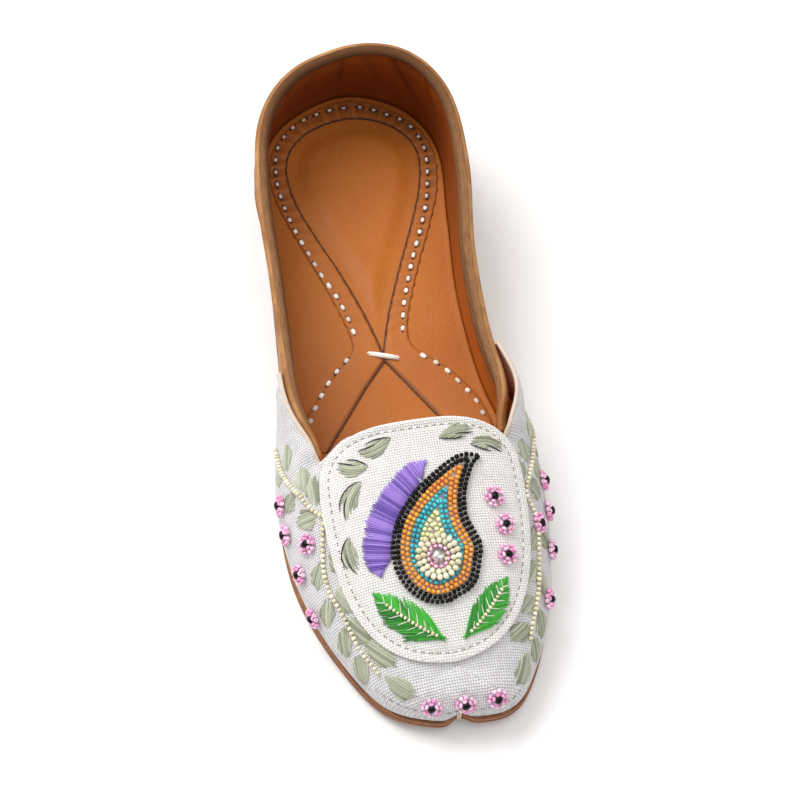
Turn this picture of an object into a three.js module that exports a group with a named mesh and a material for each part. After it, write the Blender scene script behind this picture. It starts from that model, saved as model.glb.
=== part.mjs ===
// Mojari shoe: a flat slip-on with a tan leather upper, a white cloth vamp and a sewn apron.
// Millimetres, +Z up, toe towards -Y, medial side towards +X. The shoe stands on its sole.
import * as THREE from "three";

// Driving dimensions
const SOLE_LENGTH = 251.5;
const SOLE_THICK = 5;
const SOLE_EDGE_ROUND = 0.9;
const TOE_SPRING = 4.5;
const TOE_SPRING_FROM = 48;
const ARCH_RISE = 1.8;
const ARCH_FRONT = 122;
const ARCH_BACK = 194;
const TOE_NOTCH_DEPTH = 3.2;
const TOE_NOTCH_HALF_WIDTH = 3.6;
const TOE_NOTCH_FADE = 5;
const TOE_SECTIONS = 3;
const NOSE_STATION = 12;

const LEATHER_WALL = 1.8;
const CLOTH_WALL = 1.3;
const APRON_WALL = 1.2;
const SEAM_GAP = 0.3;

const INSOLE_THICK = 2.4;
const INSOLE_GAP = 0.6;
const RIBBON_THICK = 0.8;
const RIBBON_STEPS = 3;
const RIBBON_BOW = 0.25;
const RIBBON_CROSSING = 3;

const COLLAR_ROLL_OUT = 2;
const COLLAR_ROLL_HEIGHT = 9;
const BINDING_WALL = 0.9;
const BINDING_OUTSIDE = 2.4;
const BINDING_INSIDE = 6.5;
const BINDING_INSIDE_AT_HEEL = 3.1;
const BINDING_NARROWS_OVER = 2.4;

const THROAT_STATION = 87;
const THROAT_BULGE = 5.5;
const WING_STATION = 122;
const WING_SLANT = 7;
const WING_CLEARANCE = 1.45;
const WING_BULGE = { lateral: 0.3, medial: 3 };
const WING_BULGE_POWER = 0.8;
const WING_CLEAR_BY = 0.15;
const WING_STANDS_FROM = 0.3;
const THROAT_BEND = 6;

// The fans spread the sections round the toe and the heel: how far in from each end they start.
const TOE_FAN = 16;
const HEEL_FAN = 32;
const TOE_CROWDING = 0.45;
const INSOLE_CROWDING = 0.1;
const BELLY_AT = 12;
const FLARE_AT = 46;

// How finely the pieces are divided, and how places on the skin are searched.
const SOLE_COLUMNS = 104;
const INSOLE_COLUMNS = 96;
const FRONT_COLUMNS = 16;
const QUARTER_COLUMNS = 52;
const WING_COLUMNS = 10;
const WALL_ROWS = 5;
const TOP_ROWS = 6;
const BINDING_STARTS_AT = 1;
const APRON_COLUMNS = 48;
const APRON_ROWS = 7;
const ROSETTE_COLUMNS = 24;
const ROSETTE_ROWS = 2;
const MOTIF_STEPS = 16;
const MOTIF_ROWS = 2;
const PAISLEY_ROWS = 4;
const WELDS_PER_MM = 500;
const BISECTIONS = 26;
const NEWTON_STEPS = 30;
const STEEPEST_ROW = 0.985;

// The last, one row for each section from the toe tip to the back of the heel.
// station: distance from the toe; lateral and medial: the sole's edge across the axis;
// lip: how far the sole shows past the upper; crown: height of the section's top;
// square: how square its shoulder is; belly: how far the sides swell low down;
// flare and sway: how far the sides lean out, and lean together to the medial side, at FLARE_AT;
// collar: height of the topline.
const LAST_COLUMNS = [
  "station", "lateral", "medial", "lip", "crown", "square", "belly", "flare", "sway", "collar",
];
const LAST = [
  [0, 5, 5, 2.2, 22.4, 2.2, 0.6, 0, 0, 18],
  [1, -9, 17, 2.2, 22.4, 2.2, 0.6, 0, 0, 18],
  [9, -24.5, 25.6, 2.2, 23.3, 2.25, 1, 0, 0, 19],
  [29, -36.2, 35, 2.2, 30.3, 2.4, 1.6, 0, 0, 24],
  [52, -43.9, 40, 2.2, 38, 2.6, 2.2, 0, 0, 31],
  [76, -46.5, 41.8, 2, 45, 2.8, 2.4, 0, 0, 38],
  [98, -45, 40.4, 1.6, 52, 2.9, 2.2, -0.8, 0.8, 42],
  [124, -39.7, 33.6, 1, 76, 2.8, 1.6, -0.8, -0.5, 42],
  [158, -36.5, 31, 0.7, 96, 2.7, 1, 1, 0.3, 43],
  [192, -34, 33.5, 0.6, 106, 2.6, 1, 3, 0.4, 46],
  [222, -33.5, 35.4, 0.6, 108, 2.6, 1.4, -2.5, 1.1, 50],
  [242, -21.4, 25.2, 0.6, 108, 2.6, 2, -7.5, 1.2, 53],
  [SOLE_LENGTH, 3, 3, 0.6, 108, 2.6, 2.2, -10.9, 0, 54],
].map((row) => Object.fromEntries(row.map((value, i) => [LAST_COLUMNS[i], value])));
const HEEL = LAST.length - 1;
const LOOP = 2 * HEEL;

// The apron: a shield on top of the vamp, seen from above.
const APRON = {
  middle: -1,
  widest: 70,
  halfWidth: 32.5,
  front: 53.5,
  back: 23,
  frontPower: 2.35,
  backPower: 3.2,
};

// The ribbon on the insole, from the end of its lateral tail round the heel to the end of its
// medial tail: across and along the shoe for its outer and its inner edge. The tails cross where
// the inner edge comes back to the same two points.
const RIBBON = [
  { outer: [-36.5, 108], inner: [-26.7, 107] },
  { outer: [-34, 118], inner: [-18.1, 118] },
  { outer: [-24, 131], inner: [-8.8, 130] },
  { outer: [-15, 140], inner: [-1, 138.8] },
  { outer: [-11, 146], inner: [-1, 141] },
  { outer: [-13.2, 158], inner: [-4.6, 157] },
  { outer: [-19.2, 180], inner: [-11.6, 180] },
  { outer: [-26.4, 203], inner: [-19.8, 203] },
  { outer: [-28.8, 219], inner: [-22, 220] },
  { outer: [-23.9, 232.3], inner: [-18.2, 230.5] },
  { outer: [-13, 241.2], inner: [-9.5, 237] },
  { outer: [3, 246.9], inner: [3, 239.8] },
  { outer: [17, 241.7], inner: [14, 237] },
  { outer: [26.9, 231.3], inner: [22.2, 230.5] },
  { outer: [30.9, 220], inner: [26, 220] },
  { outer: [29, 203], inner: [22.6, 203] },
  { outer: [20, 180], inner: [13, 180] },
  { outer: [11.6, 158], inner: [3.8, 157] },
  { outer: [9, 146], inner: [-1, 141] },
  { outer: [12.8, 140], inner: [-1, 138.8] },
  { outer: [22, 131.5], inner: [4.6, 130] },
  { outer: [29.6, 119], inner: [11.8, 118] },
  { outer: [32, 108.5], inner: [18, 107.5] },
];

// Bead flowers on the cloth. round: place along that side, in sections of the last from the toe;
// height: above the floor.
const FLOWER_RADIUS = 3.7;
const FLOWER_THICK = 1.7;
const FLOWER_PETALS = 5;
const FLOWER_DENT = 0.3;
const FLOWER_COLUMNS = 15;
const FLOWERS = [
  { name: "flower_lateral_1", side: "lateral", round: 5.27, height: 22.5 },
  { name: "flower_lateral_2", side: "lateral", round: 4.82, height: 20.9 },
  { name: "flower_lateral_3", side: "lateral", round: 4.48, height: 28.8 },
  { name: "flower_lateral_4", side: "lateral", round: 4.21, height: 20.1 },
  { name: "flower_lateral_5", side: "lateral", round: 3.62, height: 14 },
  { name: "flower_medial_1", side: "medial", round: 5.03, height: 23.2 },
  { name: "flower_medial_2", side: "medial", round: 4.3, height: 27.2 },
  { name: "flower_medial_3", side: "medial", round: 4.6, height: 20.4 },
  { name: "flower_medial_4", side: "medial", round: 4.04, height: 18.4 },
  { name: "flower_medial_5", side: "medial", round: 3.29, height: 17.2 },
  { name: "flower_toe_1", side: "lateral", round: 1.12, height: 16.9 },
  { name: "flower_toe_2", side: "lateral", round: 0.2, height: 17.5 },
  { name: "flower_toe_3", side: "medial", round: 0.77, height: 17.4 },
];

// Raised motifs on the apron: a paisley with a rosette in its bulb, a fan, two leaves and three
// flowers. Each long motif is a spine with half widths, seen from above.
const MOTIF_THICK = 1.1;
const ROSETTE = { x: -0.5, station: 48, radius: 7.2, thick: 1.6 };
const APRON_FLOWERS = [
  { name: "flower_apron_1", x: 21.8, station: 47 },
  { name: "flower_apron_2", x: 22.6, station: 56.5 },
  { name: "flower_apron_3", x: 20.6, station: 65.5 },
];
const MOTIFS = {
  motif_paisley: [
    { x: 1, station: 33.2, half: 0 },
    { x: 0.7, station: 35, half: 6.6 },
    { x: 0.3, station: 39.2, half: 11.4 },
    { x: -0.5, station: 48.2, half: 14.8 },
    { x: 0, station: 56.5, half: 13.6 },
    { x: 2.5, station: 64, half: 10 },
    { x: 7.5, station: 71.5, half: 6.2 },
    { x: 13.5, station: 77.2, half: 3.2 },
    { x: 19.5, station: 79, half: 0 },
  ],
  motif_fan: [
    { x: -19.5, station: 45, half: 0 },
    { x: -19.8, station: 50, half: 3 },
    { x: -17.2, station: 60, half: 3.6 },
    { x: -11, station: 69, half: 3.4 },
    { x: -3.8, station: 75.5, half: 2.6 },
    { x: 0.6, station: 78.5, half: 0 },
  ],
  motif_leaf_lateral: [
    { x: -3, station: 23.2, half: 0 },
    { x: -7.6, station: 26, half: 3.2 },
    { x: -12.8, station: 30.3, half: 4.2 },
    { x: -18, station: 35.6, half: 3 },
    { x: -22.2, station: 40.8, half: 0 },
  ],
  motif_leaf_medial: [
    { x: 4.6, station: 22.8, half: 0 },
    { x: 9, station: 26, half: 3 },
    { x: 13.4, station: 30.4, half: 3.8 },
    { x: 17.4, station: 35.2, half: 2.6 },
    { x: 20.6, station: 39.6, half: 0 },
  ],
};

// Colours
const BROWN_LEATHER = 0x9a5f35;
const TAN_LEATHER = 0xb0662b;
const PALE_LEATHER = 0xb58354;
const WHITE_CLOTH = 0xe8e5e0;
const ORANGE_BEADS = 0xf59b1e;
const CREAM_BEADS = 0xf2ecc8;
const PURPLE_SILK = 0x8d6bc4;
const GREEN_SILK = 0x35a02c;
const PINK_BEADS = 0xf0a0d0;

// Column interpolation round the closed loop of sections: lateral side out, medial side back.

function loopOf(column) {
  const values = [];
  for (let i = 0; i < LOOP; i += 1) {
    values.push(LAST[i <= HEEL ? i : LOOP - i][column]);
  }
  return values;
}

const EDGE_X = loopOf("lateral").map((x, i) => (i <= HEEL ? x : LAST[LOOP - i].medial));
const LEAN = loopOf("flare").map((flare, i) => {
  return flare + (i <= HEEL ? -LAST[i].sway : LAST[LOOP - i].sway);
});
const COLUMNS = Object.fromEntries(
  ["station", "lip", "crown", "square", "belly", "collar"].map((name) => [name, loopOf(name)]),
);

function onLoop(values, u) {
  const i = Math.floor(u);
  const f = u - i;
  const [p0, p1, p2, p3] = [-1, 0, 1, 2].map((k) => values[(((i + k) % LOOP) + LOOP) % LOOP]);
  const bend = p0 * (2 * f * f - f ** 3 - f) + p1 * (3 * f ** 3 - 5 * f * f + 2);
  return 0.5 * (bend + p2 * (4 * f * f - 3 * f ** 3 + f) + p3 * (f ** 3 - f * f));
}

const column = (name, u) => onLoop(COLUMNS[name], u);
const turnOf = (u) => ((u % LOOP) + LOOP) % LOOP;
const sideOf = (u) => (turnOf(u) <= HEEL ? "lateral" : "medial");
const alongSide = (u) => Math.min(turnOf(u), LOOP - turnOf(u));

// Sole: plan outline, and the lift of the toe and of the arch.

function soleLift(station) {
  const spring = Math.max(0, 1 - station / TOE_SPRING_FROM);
  const along = THREE.MathUtils.clamp((station - ARCH_FRONT) / (ARCH_BACK - ARCH_FRONT), 0, 1);
  return TOE_SPRING * spring ** 2 + ARCH_RISE * Math.sin(Math.PI * along) ** 2;
}

const soleEdge = (u) => new THREE.Vector2(onLoop(EDGE_X, u), column("station", u));

// The plan outline drawn in by a distance.
function soleInset(u, distance) {
  const step = 0.02;
  const along = soleEdge(u + step).sub(soleEdge(u - step)).normalize();
  return soleEdge(u).addScaledVector(new THREE.Vector2(along.y, -along.x), distance);
}

// The small cusp in the middle of the toe: how far it goes in.
function toeNotch(u) {
  const across = onLoop(EDGE_X, u) / TOE_NOTCH_HALF_WIDTH;
  return alongSide(u) < TOE_SECTIONS ? TOE_NOTCH_DEPTH * Math.exp(-(across ** 2)) : 0;
}

// Skin: the outer face of the leather upper. u goes round the shoe from the toe along the lateral
// side to the heel and back, v goes up from the sole seam (0) to the top of the section (1).

// The ridge runs along the middle of the shoe, and stops short of the toe and of the heel.
function ridgePoint(u) {
  const station = column("station", u);
  const toe = Math.hypot(station, TOE_FAN) - station;
  const heel = Math.hypot(SOLE_LENGTH - station, HEEL_FAN) - (SOLE_LENGTH - station);
  const along = station + toe - heel;
  const section = atStation(along, "lateral");
  return new THREE.Vector2((onLoop(EDGE_X, section) + onLoop(EDGE_X, LOOP - section)) / 2, along);
}

// The topline of the quarter rolls out a little.
const rollShare = (aboveCollar) => THREE.MathUtils.smoothstep(aboveCollar, -COLLAR_ROLL_HEIGHT, 0);

function skin(u, v) {
  if (v > 1) {
    return skin(LOOP - u, 2 - v);
  }
  const seam = soleInset(u, column("lip", u));
  const ridge = ridgePoint(u);
  const round = 2 / column("square", u);
  const angle = (Math.max(v, 0) * Math.PI) / 2;
  const run = Math.max(Math.cos(angle), 0) ** round;
  const base = SOLE_THICK + SEAM_GAP + soleLift(seam.y);
  const up = (column("crown", u) - base) * Math.sin(angle) ** round;
  const belly = column("belly", u) * (up / BELLY_AT) * Math.exp(1 - up / BELLY_AT);
  const notch = toeNotch(u) * Math.exp(-up / TOE_NOTCH_FADE);
  const quarter = THREE.MathUtils.smoothstep(seam.y, THROAT_STATION, WING_STATION);
  const rolled = COLLAR_ROLL_OUT * quarter * rollShare(base + up - column("collar", u));
  const swell = (belly - notch + rolled + (onLoop(LEAN, u) * up) / FLARE_AT) * run;
  const out = seam.clone().sub(ridge);
  const plan = ridge.addScaledVector(out, run + swell / out.length());
  return new THREE.Vector3(plan.x, plan.y - SOLE_LENGTH / 2, base + up);
}

function skinNormal(u, v) {
  const step = 0.004;
  const up = THREE.MathUtils.clamp(v, step * 2, STEEPEST_ROW);
  const along = skin(u + step, up).sub(skin(u - step, up));
  const climb = skin(u, up + step).sub(skin(u, up - step));
  return climb.cross(along).normalize();
}

// Where on the wall a height above the floor is.
function atHeight(u, height) {
  const base = SOLE_THICK + SEAM_GAP + soleLift(column("station", u));
  const share = THREE.MathUtils.clamp((height - base) / (column("crown", u) - base), 0, 1);
  return Math.asin(share ** (column("square", u) / 2)) / (Math.PI / 2);
}

// Which u on one side of the shoe has a station.
function atStation(station, side) {
  let [low, high] = [0, HEEL];
  for (let i = 0; i < BISECTIONS; i += 1) {
    const middle = (low + high) / 2;
    [low, high] = column("station", middle) < station ? [middle, high] : [low, middle];
  }
  return side === "medial" ? LOOP - low : low;
}

// Which (u, v) of the skin lies under a point of the plan, by Newton steps.
function underPlan(x, station) {
  const side = x < ridgePoint(atStation(station, "lateral")).x ? "lateral" : "medial";
  let u = atStation(Math.max(station, 6), side);
  let v = 0.7;
  const step = 0.002;
  const miss = (a, b) => {
    const p = skin(a, b);
    return new THREE.Vector2(p.x - x, p.y + SOLE_LENGTH / 2 - station);
  };
  for (let i = 0; i < NEWTON_STEPS; i += 1) {
    const at = miss(u, v);
    const du = miss(u + step, v).sub(at).divideScalar(step);
    const dv = miss(u, v - step).sub(at).divideScalar(-step);
    const det = du.x * dv.y - dv.x * du.y;
    u -= THREE.MathUtils.clamp((at.x * dv.y - dv.x * at.y) / det, -0.5, 0.5);
    v -= THREE.MathUtils.clamp((du.x * at.y - at.x * du.y) / det, -0.15, 0.15);
    v = THREE.MathUtils.clamp(v, 0.05, 0.999);
  }
  return { u, v };
}

// Sheets: patches of the skin that are given two faces and a rim. The bottom edge of a sheet
// stays level on the sole.

const onSkin = (u, v) => ({ point: skin(u, v), normal: skinNormal(u, v) });

function offsetPoint({ point, normal, v }, distance) {
  const out = normal.clone();
  out.z = v === 0 ? 0 : out.z;
  const moved = point.clone().addScaledVector(out.normalize(), distance);
  moved.z = v === 0 ? SOLE_THICK + SEAM_GAP + soleLift(moved.y + SOLE_LENGTH / 2) : moved.z;
  return moved;
}

class Sheet {
  constructor(surface = onSkin) {
    this.surface = surface;
    this.corners = [];
    this.ids = new Map();
    this.quads = [];
  }

  corner(u, v) {
    const { point, normal } = this.surface(u, v);
    const key = point.toArray().map((c) => Math.round(c * WELDS_PER_MM)).join(" ");
    if (!this.ids.has(key)) {
      this.ids.set(key, this.corners.length);
      this.corners.push({ point, normal, u, v });
    } else {
      this.corners[this.ids.get(key)].normal.add(normal);
    }
    return this.ids.get(key);
  }

  // A grid of quads; place turns shares along the two sides into u and v.
  patch(columns, rows, place) {
    const id = [];
    for (let i = 0; i <= columns; i += 1) {
      id.push([]);
      for (let j = 0; j <= rows; j += 1) {
        const { u, v } = place(i / columns, j / rows);
        id[i].push(this.corner(u, v));
      }
    }
    for (let i = 0; i < columns; i += 1) {
      for (let j = 0; j < rows; j += 1) {
        this.quads.push([id[i][j], id[i][j + 1], id[i + 1][j + 1], id[i + 1][j]]);
      }
    }
  }

  // A closed solid between two offsets from the skin, each a number or a function of u and v.
  solid(low, high) {
    const amount = (offset, c) => (typeof offset === "function" ? offset(c.u, c.v) : offset);
    const face = (offset) => this.corners.map((c) => offsetPoint(c, amount(offset, c)));
    const points = [...face(high), ...face(low)];
    const inside = this.corners.length;
    const triangles = [];
    const edges = new Map();
    for (const quad of this.quads) {
      const [a, b, c, d] = quad;
      const cutAC = points[a].distanceTo(points[c]) <= points[b].distanceTo(points[d]);
      const halves = cutAC ? [[a, b, c], [a, c, d]] : [[a, b, d], [b, c, d]];
      for (const [p, q, r] of halves.filter(([p, q, r]) => p !== q && q !== r && r !== p)) {
        triangles.push([p, q, r], [r + inside, q + inside, p + inside]);
        for (const [from, to] of [[p, q], [q, r], [r, p]]) {
          if (!edges.delete(`${to} ${from}`)) {
            edges.set(`${from} ${to}`, [from, to]);
          }
        }
      }
    }
    for (const [from, to] of edges.values()) {
      triangles.push([to, from, from + inside], [to, from + inside, to + inside]);
    }
    return solidFrom(points, triangles);
  }
}

function solidFrom(points, triangles) {
  const geometry = new THREE.BufferGeometry();
  const numbers = points.flatMap((p) => p.toArray());
  geometry.setAttribute("position", new THREE.Float32BufferAttribute(numbers, 3));
  geometry.setIndex(triangles.flat());
  geometry.computeVertexNormals();
  return geometry;
}

// A solid between rings of points that start at the toe: each ring is joined to the next. The two
// ends are closed by strips across the shoe, and in front of them, round the notch, by ears.
function solidFromRings(rings) {
  const size = rings[0].length;
  const top = size * (rings.length - 1);
  const triangles = [];
  for (let i = 0; i + 1 < rings.length; i += 1) {
    for (let j = 0; j < size; j += 1) {
      const [a, b] = [i * size + j, i * size + ((j + 1) % size)];
      triangles.push([a, b, b + size], [a, b + size, a + size]);
    }
  }
  const plan = rings[0].map(({ x, y }) => new THREE.Vector2(x, y));
  const close = (a, b, c) => {
    const [p, q] = [plan[b].clone().sub(plan[a]), plan[c].clone().sub(plan[a])];
    const [d, e] = p.cross(q) > 0 ? [b, c] : [c, b];
    triangles.push([e, d, a], [a + top, d + top, e + top]);
  };
  const inNose = (j) => plan[j].y + SOLE_LENGTH / 2 < NOSE_STATION;
  let first = 1;
  while (inNose(first + 1) && inNose(size - first - 1)) {
    first += 1;
  }
  const nose = Array.from({ length: 2 * first + 1 }, (_, i) => (size - first + i) % size);
  for (const [a, b, c] of THREE.ShapeUtils.triangulateShape(nose.map((k) => plan[k]), [])) {
    close(nose[a], nose[b], nose[c]);
  }
  for (let j = first; j < size / 2 - 1; j += 1) {
    close(size - j, size - j - 1, j + 1);
    close(size - j, j + 1, j);
  }
  close(size / 2 - 1, size / 2, size / 2 + 1);
  return solidFrom(rings.flat(), triangles);
}

// A ring round the sole, drawn in from its edge, at a height above the sole's own curve. The
// points can crowd together at the toe, where the notch is.
function soleRing(count, crowding, inset, height) {
  const ring = [];
  for (let i = 0; i < count; i += 1) {
    const turn = (2 * Math.PI * i) / count;
    const u = LOOP - (LOOP * (turn - crowding * Math.sin(turn))) / (2 * Math.PI);
    const p = soleInset(u, inset(u));
    ring.push(new THREE.Vector3(p.x, p.y - SOLE_LENGTH / 2, height + soleLift(p.y)));
  }
  return ring;
}

// Outsole: one leather slab that follows the toe spring and the arch.
function outsoleGeometry() {
  const rounded = (u) => toeNotch(u) + SOLE_EDGE_ROUND;
  return solidFromRings([
    soleRing(SOLE_COLUMNS, TOE_CROWDING, rounded, 0),
    soleRing(SOLE_COLUMNS, TOE_CROWDING, toeNotch, SOLE_EDGE_ROUND),
    soleRing(SOLE_COLUMNS, TOE_CROWDING, toeNotch, SOLE_THICK - SOLE_EDGE_ROUND),
    soleRing(SOLE_COLUMNS, TOE_CROWDING, rounded, SOLE_THICK),
  ]);
}

// Insole: the leather footbed inside the upper.
const INSOLE_BOTTOM = SOLE_THICK + SEAM_GAP;
const INSOLE_TOP = INSOLE_BOTTOM + INSOLE_THICK;

function insoleGeometry() {
  const inset = (u) => toeNotch(u) + column("lip", u) + LEATHER_WALL + INSOLE_GAP;
  return solidFromRings([
    soleRing(INSOLE_COLUMNS, INSOLE_CROWDING, inset, INSOLE_BOTTOM),
    soleRing(INSOLE_COLUMNS, INSOLE_CROWDING, inset, INSOLE_TOP),
  ]);
}

// Upper: the leather wall, closed over the toe and open at the throat and collar.

const THROAT_U = atStation(THROAT_STATION, "lateral");
const THROAT_SKEW = atStation(THROAT_STATION + THROAT_BULGE, "lateral") - THROAT_U;
const WING_U = atStation(WING_STATION, "lateral");
const WING_SLANT_U = atStation(WING_STATION + WING_SLANT, "lateral") - WING_U;
const SIDES = [
  { name: "lateral", onSide: (s) => s },
  { name: "medial", onSide: (s) => LOOP - s },
];

const splitAt = (u) => atHeight(u, column("collar", u));
const quarterColumn = (share) => THROAT_U + (LOOP - 2 * THROAT_U) * share;

// The closed front of the upper: side walls up to the split line, then the top up to the ridge.
// The top's back edge bulges towards the heel and makes the throat.
function addFront(sheet) {
  for (const { name, onSide } of SIDES) {
    const forward = (i) => (name === "lateral" ? i : 1 - i) * THROAT_U;
    sheet.patch(FRONT_COLUMNS, WALL_ROWS, (i, j) => {
      const u = onSide(forward(i));
      return { u, v: splitAt(u) * j };
    });
    sheet.patch(FRONT_COLUMNS, TOP_ROWS, (i, j) => {
      const s = forward(i);
      const split = splitAt(onSide(s));
      const skew = THROAT_SKEW * (s / THROAT_U) ** THROAT_BEND * THREE.MathUtils.smoothstep(j, 0, 0.5);
      return { u: onSide(s + skew), v: split + (1 - split) * j };
    });
  }
}

function upperGeometry() {
  const sheet = new Sheet();
  addFront(sheet);
  sheet.patch(QUARTER_COLUMNS, WALL_ROWS, (i, j) => {
    const u = quarterColumn(i);
    return { u, v: splitAt(u) * j };
  });
  return sheet.solid(-LEATHER_WALL, 0);
}

// Vamp cover: the white cloth over the front of the upper, with a wing down each side.

// The wings stand off the quarter near their top edge: enough to clear the binding, and more
// in the middle of the wing.
function clothOffset(u, v) {
  const along = (alongSide(u) - THROAT_U) / (WING_U - THROAT_U);
  const share = v / splitAt(u);
  if (along <= 0 || share > 1.001) {
    return SEAM_GAP;
  }
  const clear = WING_CLEARANCE * THREE.MathUtils.smoothstep(along, 0, WING_CLEAR_BY);
  const arch = Math.sin(Math.PI * Math.min(along, 1) ** WING_BULGE_POWER);
  const bulge = WING_BULGE[sideOf(u)] * Math.max(0, arch);
  return SEAM_GAP + (clear + bulge) * THREE.MathUtils.smoothstep(share, WING_STANDS_FROM, 1);
}

function vampCoverGeometry() {
  const sheet = new Sheet();
  addFront(sheet);
  for (const { name, onSide } of SIDES) {
    sheet.patch(WING_COLUMNS, WALL_ROWS, (i, j) => {
      const share = name === "lateral" ? i : 1 - i;
      const end = WING_U + WING_SLANT_U * (1 - j);
      const u = onSide(THROAT_U + (end - THROAT_U) * share);
      return { u, v: splitAt(u) * j };
    });
  }
  return sheet.solid(clothOffset, (u, v) => clothOffset(u, v) + CLOTH_WALL);
}

// Apron: the sewn plaque on top of the vamp; its back edge is the throat.

const CLOTH_TOP = SEAM_GAP + CLOTH_WALL;
const APRON_BOTTOM = CLOTH_TOP + SEAM_GAP;
const APRON_TOP = APRON_BOTTOM + APRON_WALL;

function apronOutline(turn) {
  const angle = turn * 2 * Math.PI;
  const [c, s] = [Math.cos(angle), Math.sin(angle)];
  const power = 2 / (s > 0 ? APRON.backPower : APRON.frontPower);
  const along = Math.sign(s) * Math.abs(s) ** power * (s > 0 ? APRON.back : APRON.front);
  return new THREE.Vector2(Math.sign(c) * Math.abs(c) ** power * APRON.halfWidth, along);
}

// A patch of the skin inside an outline of the plan that has a middle point.
function plaqueGeometry(middle, outline, [columns, rows], low, high) {
  const sheet = new Sheet();
  sheet.patch(columns, rows, (i, j) => {
    const p = outline(i % 1).multiplyScalar(j).add(middle);
    return underPlan(p.x, p.y);
  });
  return sheet.solid(low, high);
}

function apronGeometry() {
  const middle = new THREE.Vector2(APRON.middle, APRON.widest);
  const divided = [APRON_COLUMNS, APRON_ROWS];
  return plaqueGeometry(middle, apronOutline, divided, APRON_BOTTOM, APRON_TOP);
}

// Collar binding: a leather strip folded over the topline of the quarter. It shares the
// upper's columns, so that the two stay the seam gap apart.

// A point over the quarter: out from the skin, and above or below the topline.
function nearTopline(u, out, above) {
  const v = atHeight(u, column("collar", u) + Math.min(above, 0));
  const normal = skinNormal(u, v);
  const step = 0.01;
  const along = skin(u + step, splitAt(u + step)).sub(skin(u - step, splitAt(u - step)));
  const up = along.cross(normal).normalize();
  return skin(u, v).addScaledVector(normal, out).addScaledVector(up, Math.max(above, 0));
}

function bindingInside(u) {
  const nearHeel = Math.exp(-(((u - HEEL) / BINDING_NARROWS_OVER) ** 2));
  return BINDING_INSIDE + (BINDING_INSIDE_AT_HEEL - BINDING_INSIDE) * nearHeel;
}

function bindingSection(leg) {
  const [near, far] = [SEAM_GAP, SEAM_GAP + BINDING_WALL];
  const inside = -LEATHER_WALL;
  return [
    { out: near, above: -BINDING_OUTSIDE },
    { out: far, above: -BINDING_OUTSIDE },
    { out: far, above: near },
    { out: near, above: far },
    { out: inside - near, above: far },
    { out: inside - far, above: near },
    { out: inside - far, above: -leg },
    { out: inside - near, above: -leg },
    { out: inside - near, above: near },
    { out: near, above: near },
  ];
}

function bindingGeometry() {
  const points = [];
  const triangles = [];
  const steps = QUARTER_COLUMNS - 2 * BINDING_STARTS_AT;
  for (let i = 0; i <= steps; i += 1) {
    const u = quarterColumn((i + BINDING_STARTS_AT) / QUARTER_COLUMNS);
    const section = bindingSection(bindingInside(u));
    points.push(...section.map(({ out, above }) => nearTopline(u, out, above)));
  }
  const profile = bindingSection(BINDING_INSIDE).map(({ out, above }) => new THREE.Vector2(out, above));
  const size = profile.length;
  for (let i = 0; i < steps; i += 1) {
    for (let j = 0; j < size; j += 1) {
      const [a, b] = [i * size + j, i * size + ((j + 1) % size)];
      triangles.push([a, b, b + size], [a, b + size, a + size]);
    }
  }
  const last = steps * size;
  for (const [a, b, c] of THREE.ShapeUtils.triangulateShape(profile, [])) {
    triangles.push([c, b, a], [a + last, b + last, c + last]);
  }
  return solidFrom(points, triangles);
}

// Insole ribbon: a flat strip on the insole.

function onInsole(x, station) {
  const point = new THREE.Vector3(x, station - SOLE_LENGTH / 2, INSOLE_TOP + soleLift(station));
  return { point, normal: new THREE.Vector3(0, 0, 1) };
}

function ribbonGeometry() {
  const edge = (name) => RIBBON.map((row) => new THREE.Vector2(...row[name]));
  const [outer, inner] = [edge("outer"), edge("inner")];
  const between = (points, i) => {
    const k = Math.min(Math.floor(i * (points.length - 1)), points.length - 2);
    const f = i * (points.length - 1) - k;
    const before = points[Math.max(k - 1, 0)];
    const after = points[Math.min(k + 2, points.length - 1)];
    const bow = before.clone().add(after).sub(points[k]).sub(points[k + 1]);
    const straight = points[k].distanceTo(points[k + 1]) <= RIBBON_CROSSING;
    const amount = straight ? 0 : -RIBBON_BOW * f * (1 - f);
    return points[k].clone().lerp(points[k + 1], f).addScaledVector(bow, amount);
  };
  const sheet = new Sheet(onInsole);
  sheet.patch(RIBBON_STEPS * (RIBBON.length - 1), 1, (i, j) => {
    const p = between(outer, i).lerp(between(inner, i), j);
    return { u: p.x, v: p.y };
  });
  return sheet.solid(SEAM_GAP, SEAM_GAP + RIBBON_THICK);
}

// Bead flowers: low five-petalled solids that follow the cloth.

function flowerOutline(turn) {
  const angle = turn * 2 * Math.PI;
  const radius = FLOWER_RADIUS * (1 - FLOWER_DENT * (1 + Math.cos(FLOWER_PETALS * angle)) / 2);
  return new THREE.Vector2(Math.cos(angle), Math.sin(angle)).multiplyScalar(radius);
}

// Steps in u and v that move a point of the skin by millimetres along and up the wall.
function stepsOnSkin(u, v) {
  const step = 0.01;
  const along = skin(u + step, v).sub(skin(u - step, v)).divideScalar(2 * step);
  const climb = skin(u, v + step).sub(skin(u, v - step)).divideScalar(2 * step);
  const level = along.clone().normalize();
  const upward = level.clone().cross(climb.clone().cross(along)).normalize();
  const upShare = 1 / climb.dot(upward);
  return (p) => {
    const dv = p.y * upShare;
    return { u: u + (p.x - dv * climb.dot(level)) / along.length(), v: v + dv };
  };
}

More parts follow.
